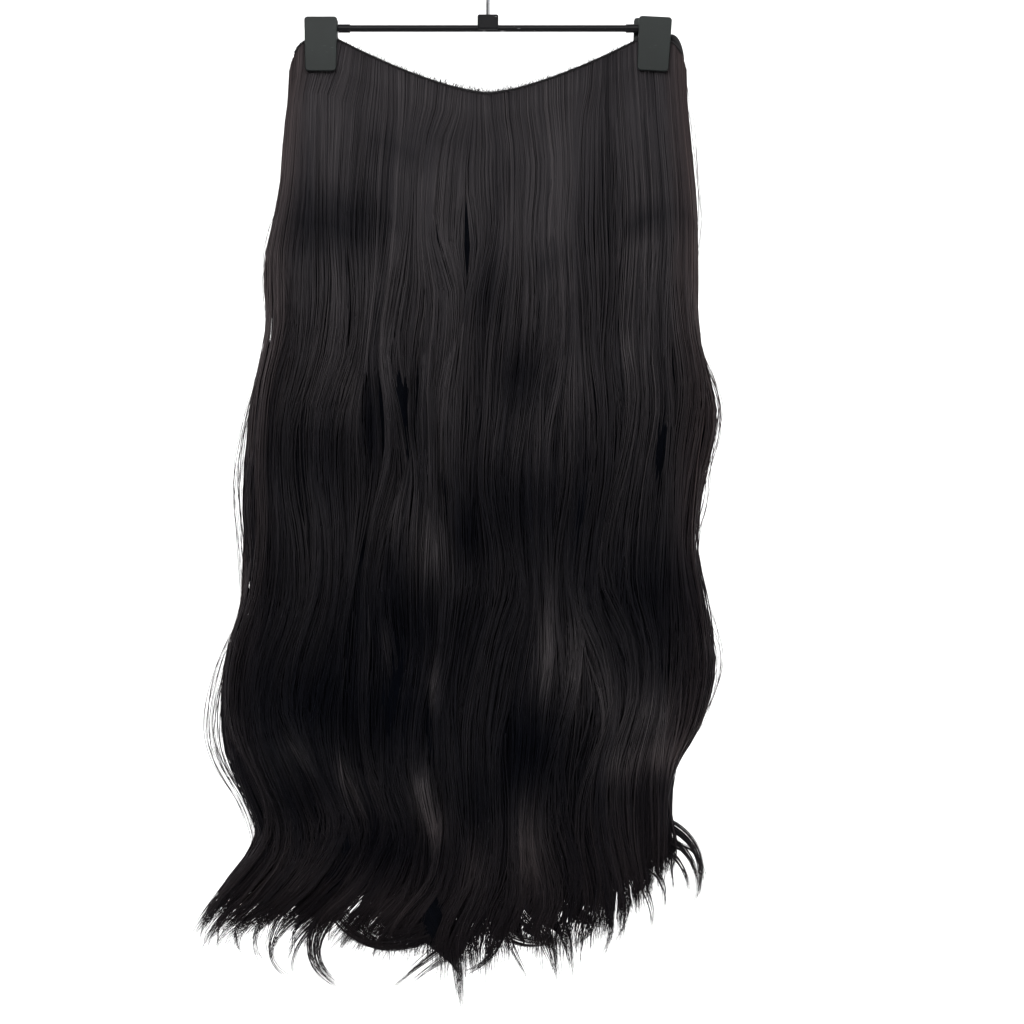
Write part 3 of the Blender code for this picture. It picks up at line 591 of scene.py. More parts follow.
def carry_profile(paths, half_widths, half_depths, profile, reference=(0.0, 1.0, 0.0)):
    """A closed profile carried along each path, and its faces.

    paths is lines by stations by 3.  Each point of the profile is (across, through) in
    shares of the half width and half depth; across is the path's direction times the
    reference, and through is across times the direction.  Both ends are closed.
    """
    along = unit(np.gradient(paths, axis=1))
    across = unit(np.cross(along, np.array(reference)))
    through = np.cross(across, along)
    sideways = half_widths[..., None] * profile[..., 0]
    outward = half_depths[..., None] * profile[..., 1]
    rings = (paths[:, :, None, :] + across[:, :, None, :] * sideways[..., None]
             + through[:, :, None, :] * outward[..., None])
    lines, stations, sides = rings.shape[:3]
    index = np.arange(lines * stations * sides).reshape(lines, stations, sides)
    upper, lower = index[:, :-1], index[:, 1:]
    walls = np.stack((upper, lower, np.roll(lower, -1, 2), np.roll(upper, -1, 2)), -1)
    ends = np.concatenate((index[:, 0], index[:, -1, ::-1]))
    return rings.reshape(-1, 3), (walls.reshape(-1, 4), ends)


def round_profile(sides, turn=0.0):
    """Corners of a regular profile of radius one, turned by an angle."""
    angle = 2 * math.pi * np.arange(sides) / sides + turn
    return np.stack((np.cos(angle), np.sin(angle)), -1)


# Flow of the hair

def hair_edges(drop, rows=OUTLINE):
    """Left and right edge of the hair at a drop."""
    return -read_row(rows, drop, 1) * HALF_SPAN, read_row(rows, drop, 2) * HALF_SPAN


def guide_places():
    """Place of every guide: its mean share of the width, with the edges at 0 and 1."""
    rows = np.array([row for row in GUIDES if row[0] < GUIDE_PLACES_END])
    left, right = hair_edges(rows[:, 0], OUTLINE + OUTLINE_ENDS)
    shares = (rows[:, 1:] * HALF_SPAN - left[:, None]) / (right - left)[:, None]
    return np.concatenate(([0.0], shares.mean(0), [1.0]))


def across_at(place, drop):
    """How far across a strand lies: evenly between the two guides beside its place."""
    left, right = hair_edges(drop, OUTLINE + OUTLINE_ENDS)
    guides = [read_row(GUIDES, drop, column) * HALF_SPAN for column in range(1, len(GUIDES[0]))]
    lines = [left, *guides, right]
    places = guide_places()
    across = left + 0.0 * place
    for guide in range(len(lines) - 1):
        room = places[guide + 1] - places[guide]
        share = np.clip((place - places[guide]) / room, 0.0, 1.0)
        across = across + (lines[guide + 1] - lines[guide]) * share
    return across


def push_from_partings(rooted, drop, openness):
    """How far every parting pushes a strand aside, by the place where it is rooted.

    The push is a skewed half sine down the parting, and dies away exponentially with
    the strand's distance from the parting's own line and towards the hair's edges.
    """
    moved = np.zeros_like(drop)
    for line, top, bottom, gap, reach, skew in PARTINGS:
        down = np.clip((drop - top) / (bottom - top), 0.0, 1.0)
        away = rooted - line
        opening = gap * np.sin(math.pi * down ** skew)
        moved += opening * np.exp(-np.abs(away) / reach) * np.sign(away)
    inside = np.clip(np.minimum(rooted, 1.0 - rooted) / EDGE_STILL, 0.0, 1.0)
    return moved * openness * inside


def rise_at(across, drop):
    """How far the front surface stands forward: a sum of smooth hills and hollows."""
    rise = np.zeros_like(drop)
    for middle, level, half_width, half_height, height in HILLS_AND_PAINTED_SHADE:
        aside = (across / HALF_SPAN - middle) / half_width
        below = (drop - level) / half_height
        rise += height * np.exp(-(aside ** 2 + below ** 2))
    return rise


def depth_at(fall):
    """Front and back of the hair at a fall below the weft's edge."""
    grown = smooth_share(ROOT_FALL, FULL_FALL, fall)
    return mix(ROOT_FRONT, -HAIR_FRONT, grown), mix(ROOT_BACK, HAIR_BACK, grown)


def lock_lines(locks, side, shares):
    """Centre, half width and half depth of every lock, as in the solid."""
    table = np.array(locks)
    place, crest, swing, tip_across, tip_drop, hook = (table[:, [column]] for column in range(6))
    count = len(locks)
    root_x = mix(-HALF_SPAN, HALF_SPAN, mix(0.5 / count, 1 - 0.5 / count, place))
    root_z = weft_top(root_x) - WEFT_SEAM
    z = mix(root_z, WEFT_LINE_Z - tip_drop * HAIR_DROP, shares)
    drop = (WEFT_LINE_Z - z) / HAIR_DROP
    fall = root_z - z
    left, right = hair_edges(drop)
    full_width = (right - left) / count / 2 * OVERLAP_SHARE
    x = mix(left + full_width, right - full_width, place)
    wave = 2 * math.pi * (drop - crest) * HAIR_DROP / WAVE_PITCH
    waving = smooth_share(ROOT_FALL, FULL_FALL, fall)
    x = x + swing * HALF_SPAN * waving * np.cos(wave)
    leaving = smooth_share(TIP_START_SHARE, 1.0, shares)
    x = mix(x, tip_across * HALF_SPAN, leaving)
    x = x + hook * HALF_SPAN * np.sin(math.pi * leaving)
    front, back = depth_at(fall)
    gather = mix(1.0, GATHER_SHARE, leaving)
    thickness = (back - front) * gather
    half_depth = np.maximum(HALF_LOCK_SHARE * thickness, ROOT_THICKNESS / 2)
    outside = (back if side > 0 else front) * gather
    parted = smooth_share(ROOT_FALL, ROOT_FALL * PARTED_SHARE, fall)
    y = mix((ROOT_FRONT + ROOT_BACK) / 2, outside - side * half_depth, parted)
    y = y + SWELL_SHARE * thickness * waving * np.sin(wave)
    narrowed = np.maximum((shares - TAPER_START_SHARE) / (1 - TAPER_START_SHARE), 0.0)
    taper = mix(TIP_SHARE, 1.0, (1.0 - narrowed) ** TAPER_POWER)
    return np.stack((x, y, z), -1), full_width * taper, half_depth * taper


def fill_locks(name, locks, side, steps, sides, material):
    """One piece of ridged locks that fill the hair under its strands.

    Their rings follow the solid's locks.  They are slim at the root, where they slope
    with the weft's top edge and stay below it, and close as a power of an S at the end.
    The flow is the ring's place with the lock's own bends taken out.
    """
    base = (np.arange(steps + 1) / steps)[None, :]
    shares = (1.0 - (1.0 - base) ** 1.25) * UNDER_END
    lines, half_width, half_depth = lock_lines(locks, side, shares)
    half_width[[0, -1]] *= EDGE_LOCK_SHARE
    angle = 2 * math.pi * np.arange(sides) / sides
    ridges = 1.0 - UNDER_RIDGE - UNDER_RIDGE * np.sin(9 * angle) * np.cos(4 * angle)
    closing = 1.0 - 0.95 * smooth_share(UNDER_CLOSING, 1.0, base) ** 1.3
    slimming = mix(UNDER_ROOT_SLIM, 1.0, smooth_share(0.0, UNDER_SLIM_END, shares))
    points, faces = carry_profile(lines, half_width * UNDER_WIDTH_SHARE * closing,
                                  half_depth * UNDER_DEPTH_SHARE * closing * slimming,
                                  round_profile(sides) * ridges[:, None])
    rings = points.reshape(len(locks), steps + 1, sides, 3)
    middle = lines[:, :, None]
    sloped = (1.0 - smooth_share(0.0, SLOPED_SHARE, shares))[..., None]
    rings[..., 2] += sloped * (weft_top(rings[..., 0]) - weft_top(middle[..., 0]))
    rings[..., 2] = np.minimum(rings[..., 2], weft_top(rings[..., 0]) - WEFT_SEAM * 0.5)
    flow = rings.copy()
    flow[..., 0] -= middle[..., 0] - middle[:, :1, :, 0]
    flow[..., 1] -= middle[..., 1]
    piece = add_piece(name, rings.reshape(-1, 3), faces, material, flow=flow.reshape(-1, 3))
    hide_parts("hair")


def strand_lines(strands, side, shares):
    """Centre line of every strand, with its drop and the front surface's rise there.

    A strand keeps its place between the guides, with a slow wander of its clump and a
    fast one of its own, and draws together with its clump towards the end.
    """
    gathering = strands["gather"] * shares ** 1.5
    gathering = mix(gathering, strands["end_gather"], smooth_share(GATHER_START, 1.0, shares))
    rooted = strands["place"] + strands["spread"]
    place = strands["place"] + strands["spread"] * (1.0 - gathering)
    root_x = np.clip(mix(-HALF_SPAN, HALF_SPAN, rooted), -HALF_SPAN, HALF_SPAN)
    root_z = weft_top(root_x) - WEFT_SEAM
    z = mix(root_z, WEFT_LINE_Z - strands["tip_drop"] * HAIR_DROP, shares)
    drop = (WEFT_LINE_Z - z) / HAIR_DROP
    fall = root_z - z
    waving = smooth_share(ROOT_FALL, FULL_FALL, fall)
    if side < 0:
        place = place + push_from_partings(rooted, drop, strands["openness"])
    x = across_at(place, drop + strands["late"] * waving)
    leaving = smooth_share(ROOT_FALL * 0.2, ROOT_FALL * 1.6, fall)
    x = mix(root_x, x, leaving)
    for wander in ("slow", "fast"):
        turned = strands[wander + "_turns"] * drop + strands[wander + "_start"]
        x = x + strands[wander + "_amount"] * waving * np.sin(2 * math.pi * turned)
    ending = smooth_share(HOOK_START, 1.0, shares)
    x = x + strands["hook"] * HALF_SPAN * ending * ending

    front, back = depth_at(fall)
    gather = mix(1.0, GATHER_SHARE, ending)
    thickness = (back - front) * gather
    grown = thickness / (HAIR_FRONT + HAIR_BACK)
    outside = (back if side > 0 else front) * gather
    level = strands["inset"] * grown - strands["crown"] * grown
    rise = rise_at(x, drop)
    if side < 0:
        level = level - RISE_DEPTH * rise * grown
    parted = smooth_share(ROOT_FALL * 0.3, ROOT_FALL * PARTED_SHARE, fall)
    root_y = (ROOT_FRONT if side < 0 else ROOT_BACK) - side * strands["root_inset"]
    y = mix(root_y, outside - side * level, parted)
    locks = FRONT_LOCKS if side < 0 else BACK_LOCKS
    inset = OVERLAP_SHARE / len(locks) / 2
    lock_place = np.clip((strands["place"] - inset) / (1 - 2 * inset), 0.0, 1.0)
    wave = 2 * math.pi * (drop - read_row(locks, lock_place, 1)) * HAIR_DROP / WAVE_PITCH
    y = y + SWELL_SHARE * thickness * waving * np.sin(wave)
    slow = np.cos(2 * math.pi * (strands["slow_turns"] * drop))
    y = y + strands["slow_amount"] * 0.6 * waving * slow
    beside = np.clip(1.0 - np.minimum(rooted, 1.0 - rooted) / SIDE_SHARE, 0.0, 1.0)
    y = mix(y, (front + back) / 2 * gather, beside ** 2 * parted)
    return np.stack((x, y, z), -1), drop, rise


def scatter_strands(rng, count, in_clump, settings):
    """Random places, ends and wanders: clumps first, then the strands in each clump."""
    def of_clump(low, high, power=1.0):
        return np.repeat(draw(rng, count, low, high, power), in_clump, axis=0)

    def of_strand(low, high, power=1.0):
        return draw(rng, count * in_clump, low, high, power)

    clump_place = (np.arange(count) + rng.random(count)) / count
    rng.shuffle(clump_place)
    place = np.repeat(clump_place, in_clump)[:, None]
    offset = of_strand(-1.0, 1.0)
    rooted = place + offset * of_clump(0.45, 1.0) * settings.clump_width
    spread = 1.0 - np.abs(1.0 - np.abs(rooted)) - place
    depth = of_clump(0.0, 1.0)
    wisp = of_clump(0.0, 1.0) < WISP_SHARE
    reach = wisp * of_clump(0.4, 1.0) * read_row(ENDS, place, 2)
    strands = {
        "place": place,
        "spread": spread,
        "gather": of_clump(0.0, 0.5),
        "end_gather": np.where(wisp, of_clump(0.80, 0.96), of_clump(0.05, 0.55)),
        "late": of_clump(-0.018, 0.018) + of_strand(-0.003, 0.003),
        "slow_amount": of_clump(0.3, 1.0) * settings.wander,
        "slow_turns": of_clump(1.2, 3.4),
        "slow_start": of_clump(0.0, 1.0),
        "fast_amount": of_strand(0.1, 1.0, 2.0) * settings.frizz,
        "fast_turns": of_strand(3.0, 9.0),
        "fast_start": of_strand(0.0, 1.0),
        "openness": (1.0 - depth * 0.85) * of_clump(0.4, 1.0),
        "crown": (1.0 - offset ** 2) * settings.crown,
        "root_inset": of_strand(0.0003, 0.0013),
        "inset": depth * settings.layer_depth + of_strand(0.0, 0.0015),
        "tip_drop": read_row(ENDS, place, 1) + of_clump(-0.009, 0.003) + reach,
        "hook": of_clump(-0.020, 0.025) + of_strand(-0.008, 0.010),
        "start": np.zeros_like(place),
        "length": np.where(wisp, of_strand(0.945, 1.0, 0.7), of_strand(0.972, 1.0, 0.7)),
        # Painted glints: six strands in a hundred are painted 1.6 times lighter
        "tone": ((of_clump(0.38, 0.60) + of_strand(-0.09, 0.12))
                 * np.where(of_strand(0.0, 1.0) > 0.94, 1.6, 1.0)),
        "depth": depth,
        "thickness": of_strand(0.6, 1.25),
    }
    return strands


def painted_shade_at(rise, drop, depth):
    """Painted shade on the hair, as a share of its tone: it darkens down the fall, in place
    of the key light's fall down the hair, and below the deeper clumps' roots, in place of
    their shadow, and grows as e to the power of the rise, so that hills are painted lighter
    than hollows.
    """
    deep = mix(1.0, DEEP_PAINTED_SHADE, depth * smooth_share(DEEP_START, DEEP_END, drop))
    fallen = mix(1.0, LOW_PAINTED_SHADE, smooth_share(FADE_START, FADE_END, drop))
    return deep * fallen * np.exp(PAINTED_SHADE_PER_RISE * rise)


def add_strand_tubes(name, lines, half_width, values, material, parts=1, side=-1):
    """Tapered tubes along lines, in one or more pieces; values are (tone, along, place)."""
    profile = round_profile(STRAND_SIDES, side * -math.pi / 2 + math.pi)
    for part, chosen in enumerate(np.array_split(np.arange(len(lines)), parts)):
        width = half_width[chosen]
        points, faces = carry_profile(lines[chosen], width, width * STRAND_DEPTH, profile)
        tone = np.repeat(values[chosen][:, :, None, :], STRAND_SIDES, axis=2).reshape(-1, 3)
        number = f"_{part + 1}" if parts > 1 else ""
        piece = add_piece(name + number, points, faces, material, tone=tone)
        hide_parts("hair")


def grow_strands(name, strands, side, steps, width, material, parts=1):
    """Three-sided tubes along the strands, thin at the root and drawn out at the end."""
    base = (np.arange(steps + 1) / steps)[None, :]
    shares = mix(strands["start"], strands["length"], 1.0 - (1.0 - base) ** STATION_POWER)
    lines, drop, rise = strand_lines(strands, side, shares)
    roots = smooth_share(0.0, ROOT_SLIM_END, base)
    ends = smooth_share(END_SLIM_START, 1.0, shares / strands["length"])
    half_width = width / 2 * mix(ROOT_WIDTH, 1.0, roots) * mix(1.0, END_WIDTH, ends)
    half_width = half_width * strands["thickness"]
    # Painted shade: the front strands' tone darkens down the fall and under deeper clumps, and lightens on
    # hills and darkens in hollows
    shade = painted_shade_at(rise if side < 0 else 0.0 * rise, drop, strands["depth"])
    tone = np.clip(strands["tone"] * shade, 0.0, 1.0)
    along = np.broadcast_to(shares, drop.shape)
    place = np.broadcast_to(strands["place"] + strands["spread"], drop.shape)
    values = np.stack((tone, along, place), -1)
    add_strand_tubes(name, lines, half_width, values, material, parts, side)


def curl_lines(rng, steps):
    """Strands of every curl: quadratic curves through its start, bend and end.

    Its strands lie side by side at the start and draw together towards the end, where
    they stop at different lengths.
    """
    rows = np.array(CURLS)
    rows = np.repeat(rows, (rows[:, 7] * CURL_FILL).astype(int), axis=0)
    count = len(rows)
    start, bend, end = (rows[:, None, [column, column + 1]] for column in (0, 2, 4))
    reach = draw(rng, count, *CURL_REACH, 0.5)
    share = (np.arange(steps + 1) / steps)[None, :] * reach
    t = share[..., None]
    flat = (1 - t) ** 2 * start + 2 * t * (1 - t) * bend + t ** 2 * end
    x = flat[..., 0] * HALF_SPAN
    z = WEFT_LINE_Z - flat[..., 1] * HAIR_DROP
    along = unit(np.stack((np.gradient(x, axis=1), np.gradient(z, axis=1)), -1))
    offset = draw(rng, count, -1.0, 1.0)
    fray = draw(rng, count, -1.0, 1.0) * CURL_FRAY * share ** 2
    aside = offset * rows[:, [6]] * (1.0 - CURL_CLOSING * share ** 1.3) + fray
    x = x - along[..., 1] * aside
    z = z + along[..., 0] * aside
    lift = draw(rng, count, *CURL_LIFT) - HAIR_FRONT * GATHER_SHARE
    y = lift + 0.004 * (1.0 - smooth_share(0.0, 0.35, share)) + 0.003 * share * offset
    return np.stack((x, y, z), -1), share / reach


def loose_lines(rng, steps):
    """Single strands that bow off the hair's edges, as a half sine, and come back."""
    rows = np.array(LOOSE_EDGES)
    rows = np.repeat(rows, rows[:, 4].astype(int), axis=0)
    count = len(rows)
    side, top, bottom, stand_off = (rows[:, [column]] for column in range(4))
    share = (np.arange(steps + 1) / steps)[None, :]
    drop = np.maximum(mix(top, bottom, share) + draw(rng, count, *LOOSE_SHIFT), 0.01)
    left, right = hair_edges(drop, OUTLINE + OUTLINE_ENDS)
    bow = np.sin(math.pi * share) ** 0.7
    level = draw(rng, count, *LOOSE_LEVELS)
    ripple = LOOSE_RIPPLE * np.sin(2 * math.pi * (share * draw(rng, count, 1.0, 3.0) + level))
    edge = np.where(side < 0, left, right)
    x = edge + side * (stand_off * level * bow - LOOSE_TUCK * (1.0 - bow)) + ripple * bow
    z = WEFT_LINE_Z - drop * HAIR_DROP
    front, back = depth_at(WEFT_LINE_Z - z)
    y = mix(front, back, draw(rng, count, *LOOSE_DEPTHS))
    place = np.broadcast_to(np.where(side < 0, 0.0, 1.0), x.shape)
    return np.stack((x, y, z), -1), np.broadcast_to(share, x.shape), place


# Weft and its threads

def add_cord(name, paths, half_width, sides, material, reference=(0.0, 1.0, 0.0), depth=CORD_DEPTH):
    """Cords of one width, or of a width for each station, carried along paths."""
    width = np.broadcast_to(half_width, paths.shape[:2])
    points, faces = carry_profile(paths, width, width * depth, round_profile(sides), reference)
    add_piece(name, points, faces, material)


def stitch_path(pitch, points_each):
    """One thread sewn over the weft's top edge: an ellipse in Y and Z that moves along X."""
    turns = int(2 * HALF_SPAN * BAND_REACH_SHARE / pitch)
    share = np.linspace(0.0, 1.0, turns * points_each + 1)
    x = mix(-HALF_SPAN, HALF_SPAN, share) * BAND_REACH_SHARE
    angle = 2 * math.pi * turns * share
    lean = pitch * 0.25 * np.sin(angle)
    y = STITCH_DEPTH * np.sin(angle)
    z = weft_top(x) - STITCH_HEIGHT + STITCH_HEIGHT * 1.15 * np.cos(angle)
    return np.stack((x + lean, y, z), -1)[None]


def seam_paths(steps):
    """Two cords along the weft's top edge, one at its front and one at its back."""
    x = np.linspace(-HALF_SPAN, HALF_SPAN, steps + 1) * BAND_REACH_SHARE
    z = weft_top(x) - WEFT_SEAM * 0.75
    front = np.stack((x, np.full_like(x, ROOT_FRONT + FRONT_CORD_OFF), z), -1)
    back = np.stack((x, np.full_like(x, BAND_HIGH.y + BACK_CORD_OFF), z), -1)
    return np.stack((front, back))


def roll_path(steps):
    """Centre line and half width of the rolled end, on a cubic through the table's rows."""
    row = np.linspace(0.0, 1.0, steps + 1) * (len(ROLL) - 1)
    rows = tuple((index, *values) for index, values in enumerate(ROLL))
    x = read_row(rows, row, 1) * HALF_SPAN
    z = WEFT_LINE_Z + read_row(rows, row, 2)
    path = np.stack((x, np.full_like(x, (ROOT_FRONT + ROOT_BACK) / 2), z), -1)[None]
    return path, read_row(rows, row, 3)


def fuzz_lines(rng, count, steps):
    """Short hair ends that stick up and forward from the sewn edge, each a small arc.

    They stand closest and longest at the weft's middle.
    """
    share = (np.arange(steps + 1) / steps)[None, :]
    across = mix(*FUZZ_SPAN, (rng.random(count) + rng.random(count)) / 2)[:, None]
    x = across * HALF_SPAN
    length = draw(rng, count, *FUZZ_LENGTH, 2) * (1.0 - 0.4 * np.abs(across))
    lean = draw(rng, count, -0.9, 0.9)
    forward = draw(rng, count, -0.5, 1.0)
    y = draw(rng, count, ROOT_FRONT, ROOT_BACK)
    up = np.sin(share * math.pi * 0.6)
    points = (x + length * lean * share, y - length * forward * share ** 2,
              weft_top(x) - WEFT_SEAM * 0.4 + length * up)
    return np.stack(np.broadcast_arrays(*points), -1)


def clip_thread_paths():
    """Loops of thread that hold each snap clip: over its top bar and back to the band."""
    paths = []
    for name in SNAP_CLIPS:
        low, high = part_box(name)
        for share in CLIP_LOOPS:
            x = mix(low.x, high.x, share)
            top = sag_line(x) - CLIP_TOP_DROP
            behind, outside = BAND_HIGH.y + 0.0002, high.y + 0.0003
            paths.append(((x, behind, top + 0.0012), (x, outside - 0.0006, top + 0.0005),
                          (x, outside, top - 0.0004), (x, outside, top - 0.0018),
                          (x, outside - 0.0006, top - 0.0026), (x, behind, top - 0.0030)))
    return np.array(paths)


# Finishes

def tint(color, share):
    """The colour with each of its channels times the share."""
    return tuple(channel * share for channel in color)


def set_inputs(tree, node, inputs):
    """Links each input to a socket, or sets it to a number, a vector or a colour."""
    for key, value in inputs.items():
        socket = node.inputs[key]
        if isinstance(value, bpy.types.NodeSocket):
            tree.links.new(value, socket)
        elif socket.type == "RGBA":
            socket.default_value = (*value, 1.0)
        elif socket.type == "VECTOR":
            socket.default_value = np.broadcast_to(value, 3).tolist()
        else:
            socket.default_value = value


def add_node(tree, kind, inputs=None, **values):
    """A node with its own values set first, then its inputs."""
    node = tree.nodes.new(kind)
    for key, value in values.items():
        setattr(node, key, value)
    set_inputs(tree, node, inputs or {})
    return node


def new_material(name, color, roughness, metallic=0.0, specular=0.5):
    """A material, its node tree and its Principled shader."""
    material = bpy.data.materials.new(name)
    material.use_nodes = True
    tree = material.node_tree
    shader = tree.nodes["Principled BSDF"]
    set_inputs(tree, shader, {"Base Color": color, "Roughness": roughness, "Metallic": metallic,
                              "Specular IOR Level": specular})
    return material, tree, shader


def mix_color(tree, factor, first, second):
    """A colour mix; each input is a socket, a number or a colour."""
    node = add_node(tree, "ShaderNodeMix", data_type="RGBA")
    for number, value in ((0, factor), (6, first), (7, second)):
        set_inputs(tree, node, {number: value})
    return node.outputs[2]


def map_range(tree, value, low, high, new_low=0.0, new_high=1.0):
    """A value moved from one range to another."""
    node = add_node(tree, "ShaderNodeMapRange", {"Value": value, "From Min": low, "From Max": high,
                                                 "To Min": new_low, "To Max": new_high})
    return node.outputs["Result"]


def add_math(tree, operation, first, second, use_clamp=False):
    """Sum, difference or product of two values."""
    node = add_node(tree, "ShaderNodeMath", {0: first, 1: second}, operation=operation,
                    use_clamp=use_clamp)
    return node.outputs[0]


def add_noise(tree, scale, detail, distortion=0.0):
    """Noise on the piece's own coordinates, scaled along each axis."""
    place = add_node(tree, "ShaderNodeTexCoord")
    scaled = add_node(tree, "ShaderNodeVectorMath", {0: place.outputs["Object"], 1: scale},
                      operation="MULTIPLY")
    noise = add_node(tree, "ShaderNodeTexNoise", {"Vector": scaled.outputs[0], "Scale": 1.0,
                                                  "Detail": detail, "Distortion": distortion})
    return noise.outputs["Fac"]


def add_bump(tree, shader, height, distance, strength=1.0):
    """Bump on the shader from a height."""
    bump = add_node(tree, "ShaderNodeBump", {"Height": height, "Distance": distance,
                                             "Strength": strength})
    set_inputs(tree, shader, {"Normal": bump.outputs["Normal"]})


def new_group(name, inputs, outputs):
    """A node group, the values that it is given inside, and the node for its results.

    Each input is a name, a kind and a default if it has one; each output a name and a kind.
    """
    group = bpy.data.node_groups.new(name, "ShaderNodeTree")
    for label, kind, *default in inputs:
        socket = group.interface.new_socket(name=label, in_out="INPUT", socket_type="NodeSocket" + kind)
        if default:
            socket.default_value = default[0]
    for label, kind in outputs:
        group.interface.new_socket(name=label, in_out="OUTPUT", socket_type="NodeSocket" + kind)
    return group, add_node(group, "NodeGroupInput").outputs, add_node(group, "NodeGroupOutput")


def place_group(tree, name, build, inputs):
    """Outputs of a shared group that is put in a material; its first use builds it."""
    group = bpy.data.node_groups.get(name) or build(name)
    return add_node(tree, "ShaderNodeGroup", inputs, node_tree=group).outputs


def grain_group(name):
    """Fine noise on the piece's own coordinates, as a mask and a height."""
    group, given, result = new_group(
        name, (("Scale", "Vector", (1.0, 1.0, 1.0)), ("Detail", "Float", 4.0)),
        (("Mask", "Float"), ("Height", "Float")))
    noise = add_noise(group, given["Scale"], given["Detail"])
    set_inputs(group, result, {"Mask": map_range(group, noise, 0.35, 0.65), "Height": noise})
    return group


def place_grain(tree, scale, detail=4.0):
    """Mask and height of the shared grain."""
    outputs = place_group(tree, "Surface grain", grain_group, {"Scale": scale, "Detail": detail})
    return outputs["Mask"], outputs["Height"]


def scratch_group(name):
    """Fine streaks on the piece's own coordinates, as a mask: more with a larger amount."""
    group, given, result = new_group(
        name, (("Scale", "Vector", (1.0, 1.0, 1.0)), ("Amount", "Float", 0.1)), (("Mask", "Float"),))
    noise = add_noise(group, given["Scale"], 2.0, 0.3)
    limit = add_math(group, "SUBTRACT", 0.75, given["Amount"])
    over = add_math(group, "SUBTRACT", noise, limit)
    set_inputs(group, result, {"Mask": add_math(group, "MULTIPLY", over, 14.0, use_clamp=True)})
    return group


def place_scratches(tree, scale, amount):
    """Mask of the shared streaks."""
    inputs = {"Scale": scale, "Amount": amount}
    return place_group(tree, "Scratches", scratch_group, inputs)["Mask"]


def strand_color_group(name):
    """A strand's colour from its own tone, its length and its place.

    The tone, which carries the painted shade, runs from the dark colour to the light one,
    and the ends and both edges of the hair turn towards the warm colour, more where the
    tone is lighter: painted light shining through the thin hair there.
    """
    group, given, result = new_group(
        name, (("Dark", "Color"), ("Light", "Color"), ("Warm", "Color")),
        (("Color", "Color"), ("Tone", "Float")))
    values = add_node(group, "ShaderNodeAttribute", attribute_name="tone")
    split = add_node(group, "ShaderNodeSeparateXYZ", {0: values.outputs["Vector"]}).outputs
    base = mix_color(group, split["X"], given["Dark"], given["Light"])
    # Painted light shining through the hair at its ends and its edges
    warmth = map_range(group, split["Y"], 0.80, 1.0, 0.0, 0.40)
    for low, high, most in ((0.08, 0.0, 0.30), (0.93, 1.0, 0.45)):
        edge = map_range(group, split["Z"], low, high, 0.0, most)
        warmth = add_math(group, "MAXIMUM", warmth, edge)
    lit = add_math(group, "MULTIPLY", warmth, split["X"])
    color = mix_color(group, lit, base, given["Warm"])
    set_inputs(group, result, {"Color": color, "Tone": split["X"]})
    return group


def strand_finish(settings, name, lightness):
    """Hair on single strands, shinier where the strand is lighter."""
    dark, roughness = settings.dark_color, settings.roughness
    material, tree, shader = new_material(name, dark, roughness, specular=settings.specular)
    outputs = place_group(tree, "Strand color", strand_color_group, {
        "Dark": dark, "Light": tint(settings.light_color, lightness), "Warm": settings.warm_glow_color})
    rough = map_range(tree, outputs["Tone"], 0.0, 1.0, roughness * 1.15, roughness * 0.85)
    set_inputs(tree, shader, {"Base Color": outputs["Color"], "Roughness": rough})
    return material


def under_finish(settings):
    """Hair seen between the strands, with streaks that run along the locks: dark, given only the darkest
    hair colour as painted shade for the depths of the hair.
    """
    dark = settings.dark_color
    material, tree, shader = new_material("Hair under the strands", dark, settings.roughness * 1.2,
                                          specular=settings.specular)
    flow = add_node(tree, "ShaderNodeAttribute", attribute_name="flow")
    stretch = add_node(tree, "ShaderNodeMapping", {"Vector": flow.outputs["Vector"],
                                                   "Scale": UNDER_STREAKS})
    streaks = add_node(tree, "ShaderNodeTexNoise", {"Vector": stretch.outputs[0], "Scale": 1.0,
                                                    "Detail": 3.0}).outputs["Fac"]
    # Painted shade: the fill runs only from half the darkest hair colour to the darkest
    color = mix_color(tree, map_range(tree, streaks, 0.4, 0.7), tint(dark, 0.5), dark)
    set_inputs(tree, shader, {"Base Color": color})
    add_bump(tree, shader, streaks, 0.0012)
    return material


def moulded_plastic(settings):
    """Satin moulded plastic of the clip jaws: fine grain and a few light scuffs."""
    plain, roughness = settings.plastic_color, settings.plastic_roughness
    material, tree, shader = new_material("Moulded jaw plastic", plain, roughness, specular=0.25)
    mask, height = place_grain(tree, JAW_GRAIN, 5.0)
    blotch, _ = place_grain(tree, JAW_BLOTCHES, 2.0)
    color = mix_color(tree, blotch, tint(plain, 0.86), tint(plain, 1.14))
    scuffs = place_scratches(tree, JAW_SCUFFS, settings.wear)
    rough = map_range(tree, mask, 0.0, 1.0, roughness * 0.9, roughness * 1.15)
    set_inputs(tree, shader, {"Base Color": mix_color(tree, scuffs, color, settings.scuff_color),
                              "Roughness": rough})
    add_bump(tree, shader, height, 0.00006, 0.6)
    return material


def painted_steel(name, color, chip_scale, amount):
    """Painted steel: satin paint with small chips that show bare metal."""
    material, tree, shader = new_material(name, color, 0.45, specular=0.12)
    chips = place_scratches(tree, chip_scale, amount)
    blotch, height = place_grain(tree, PAINT_GRAIN)
    paint = mix_color(tree, blotch, tint(color, 0.7), color)
    set_inputs(tree, shader, {"Base Color": mix_color(tree, chips, paint, BARE_STEEL), "Metallic": chips,
                              "Roughness": map_range(tree, blotch, 0.0, 1.0, 0.40, 0.52)})
    add_bump(tree, shader, height, 0.00004, 0.5)
    return material


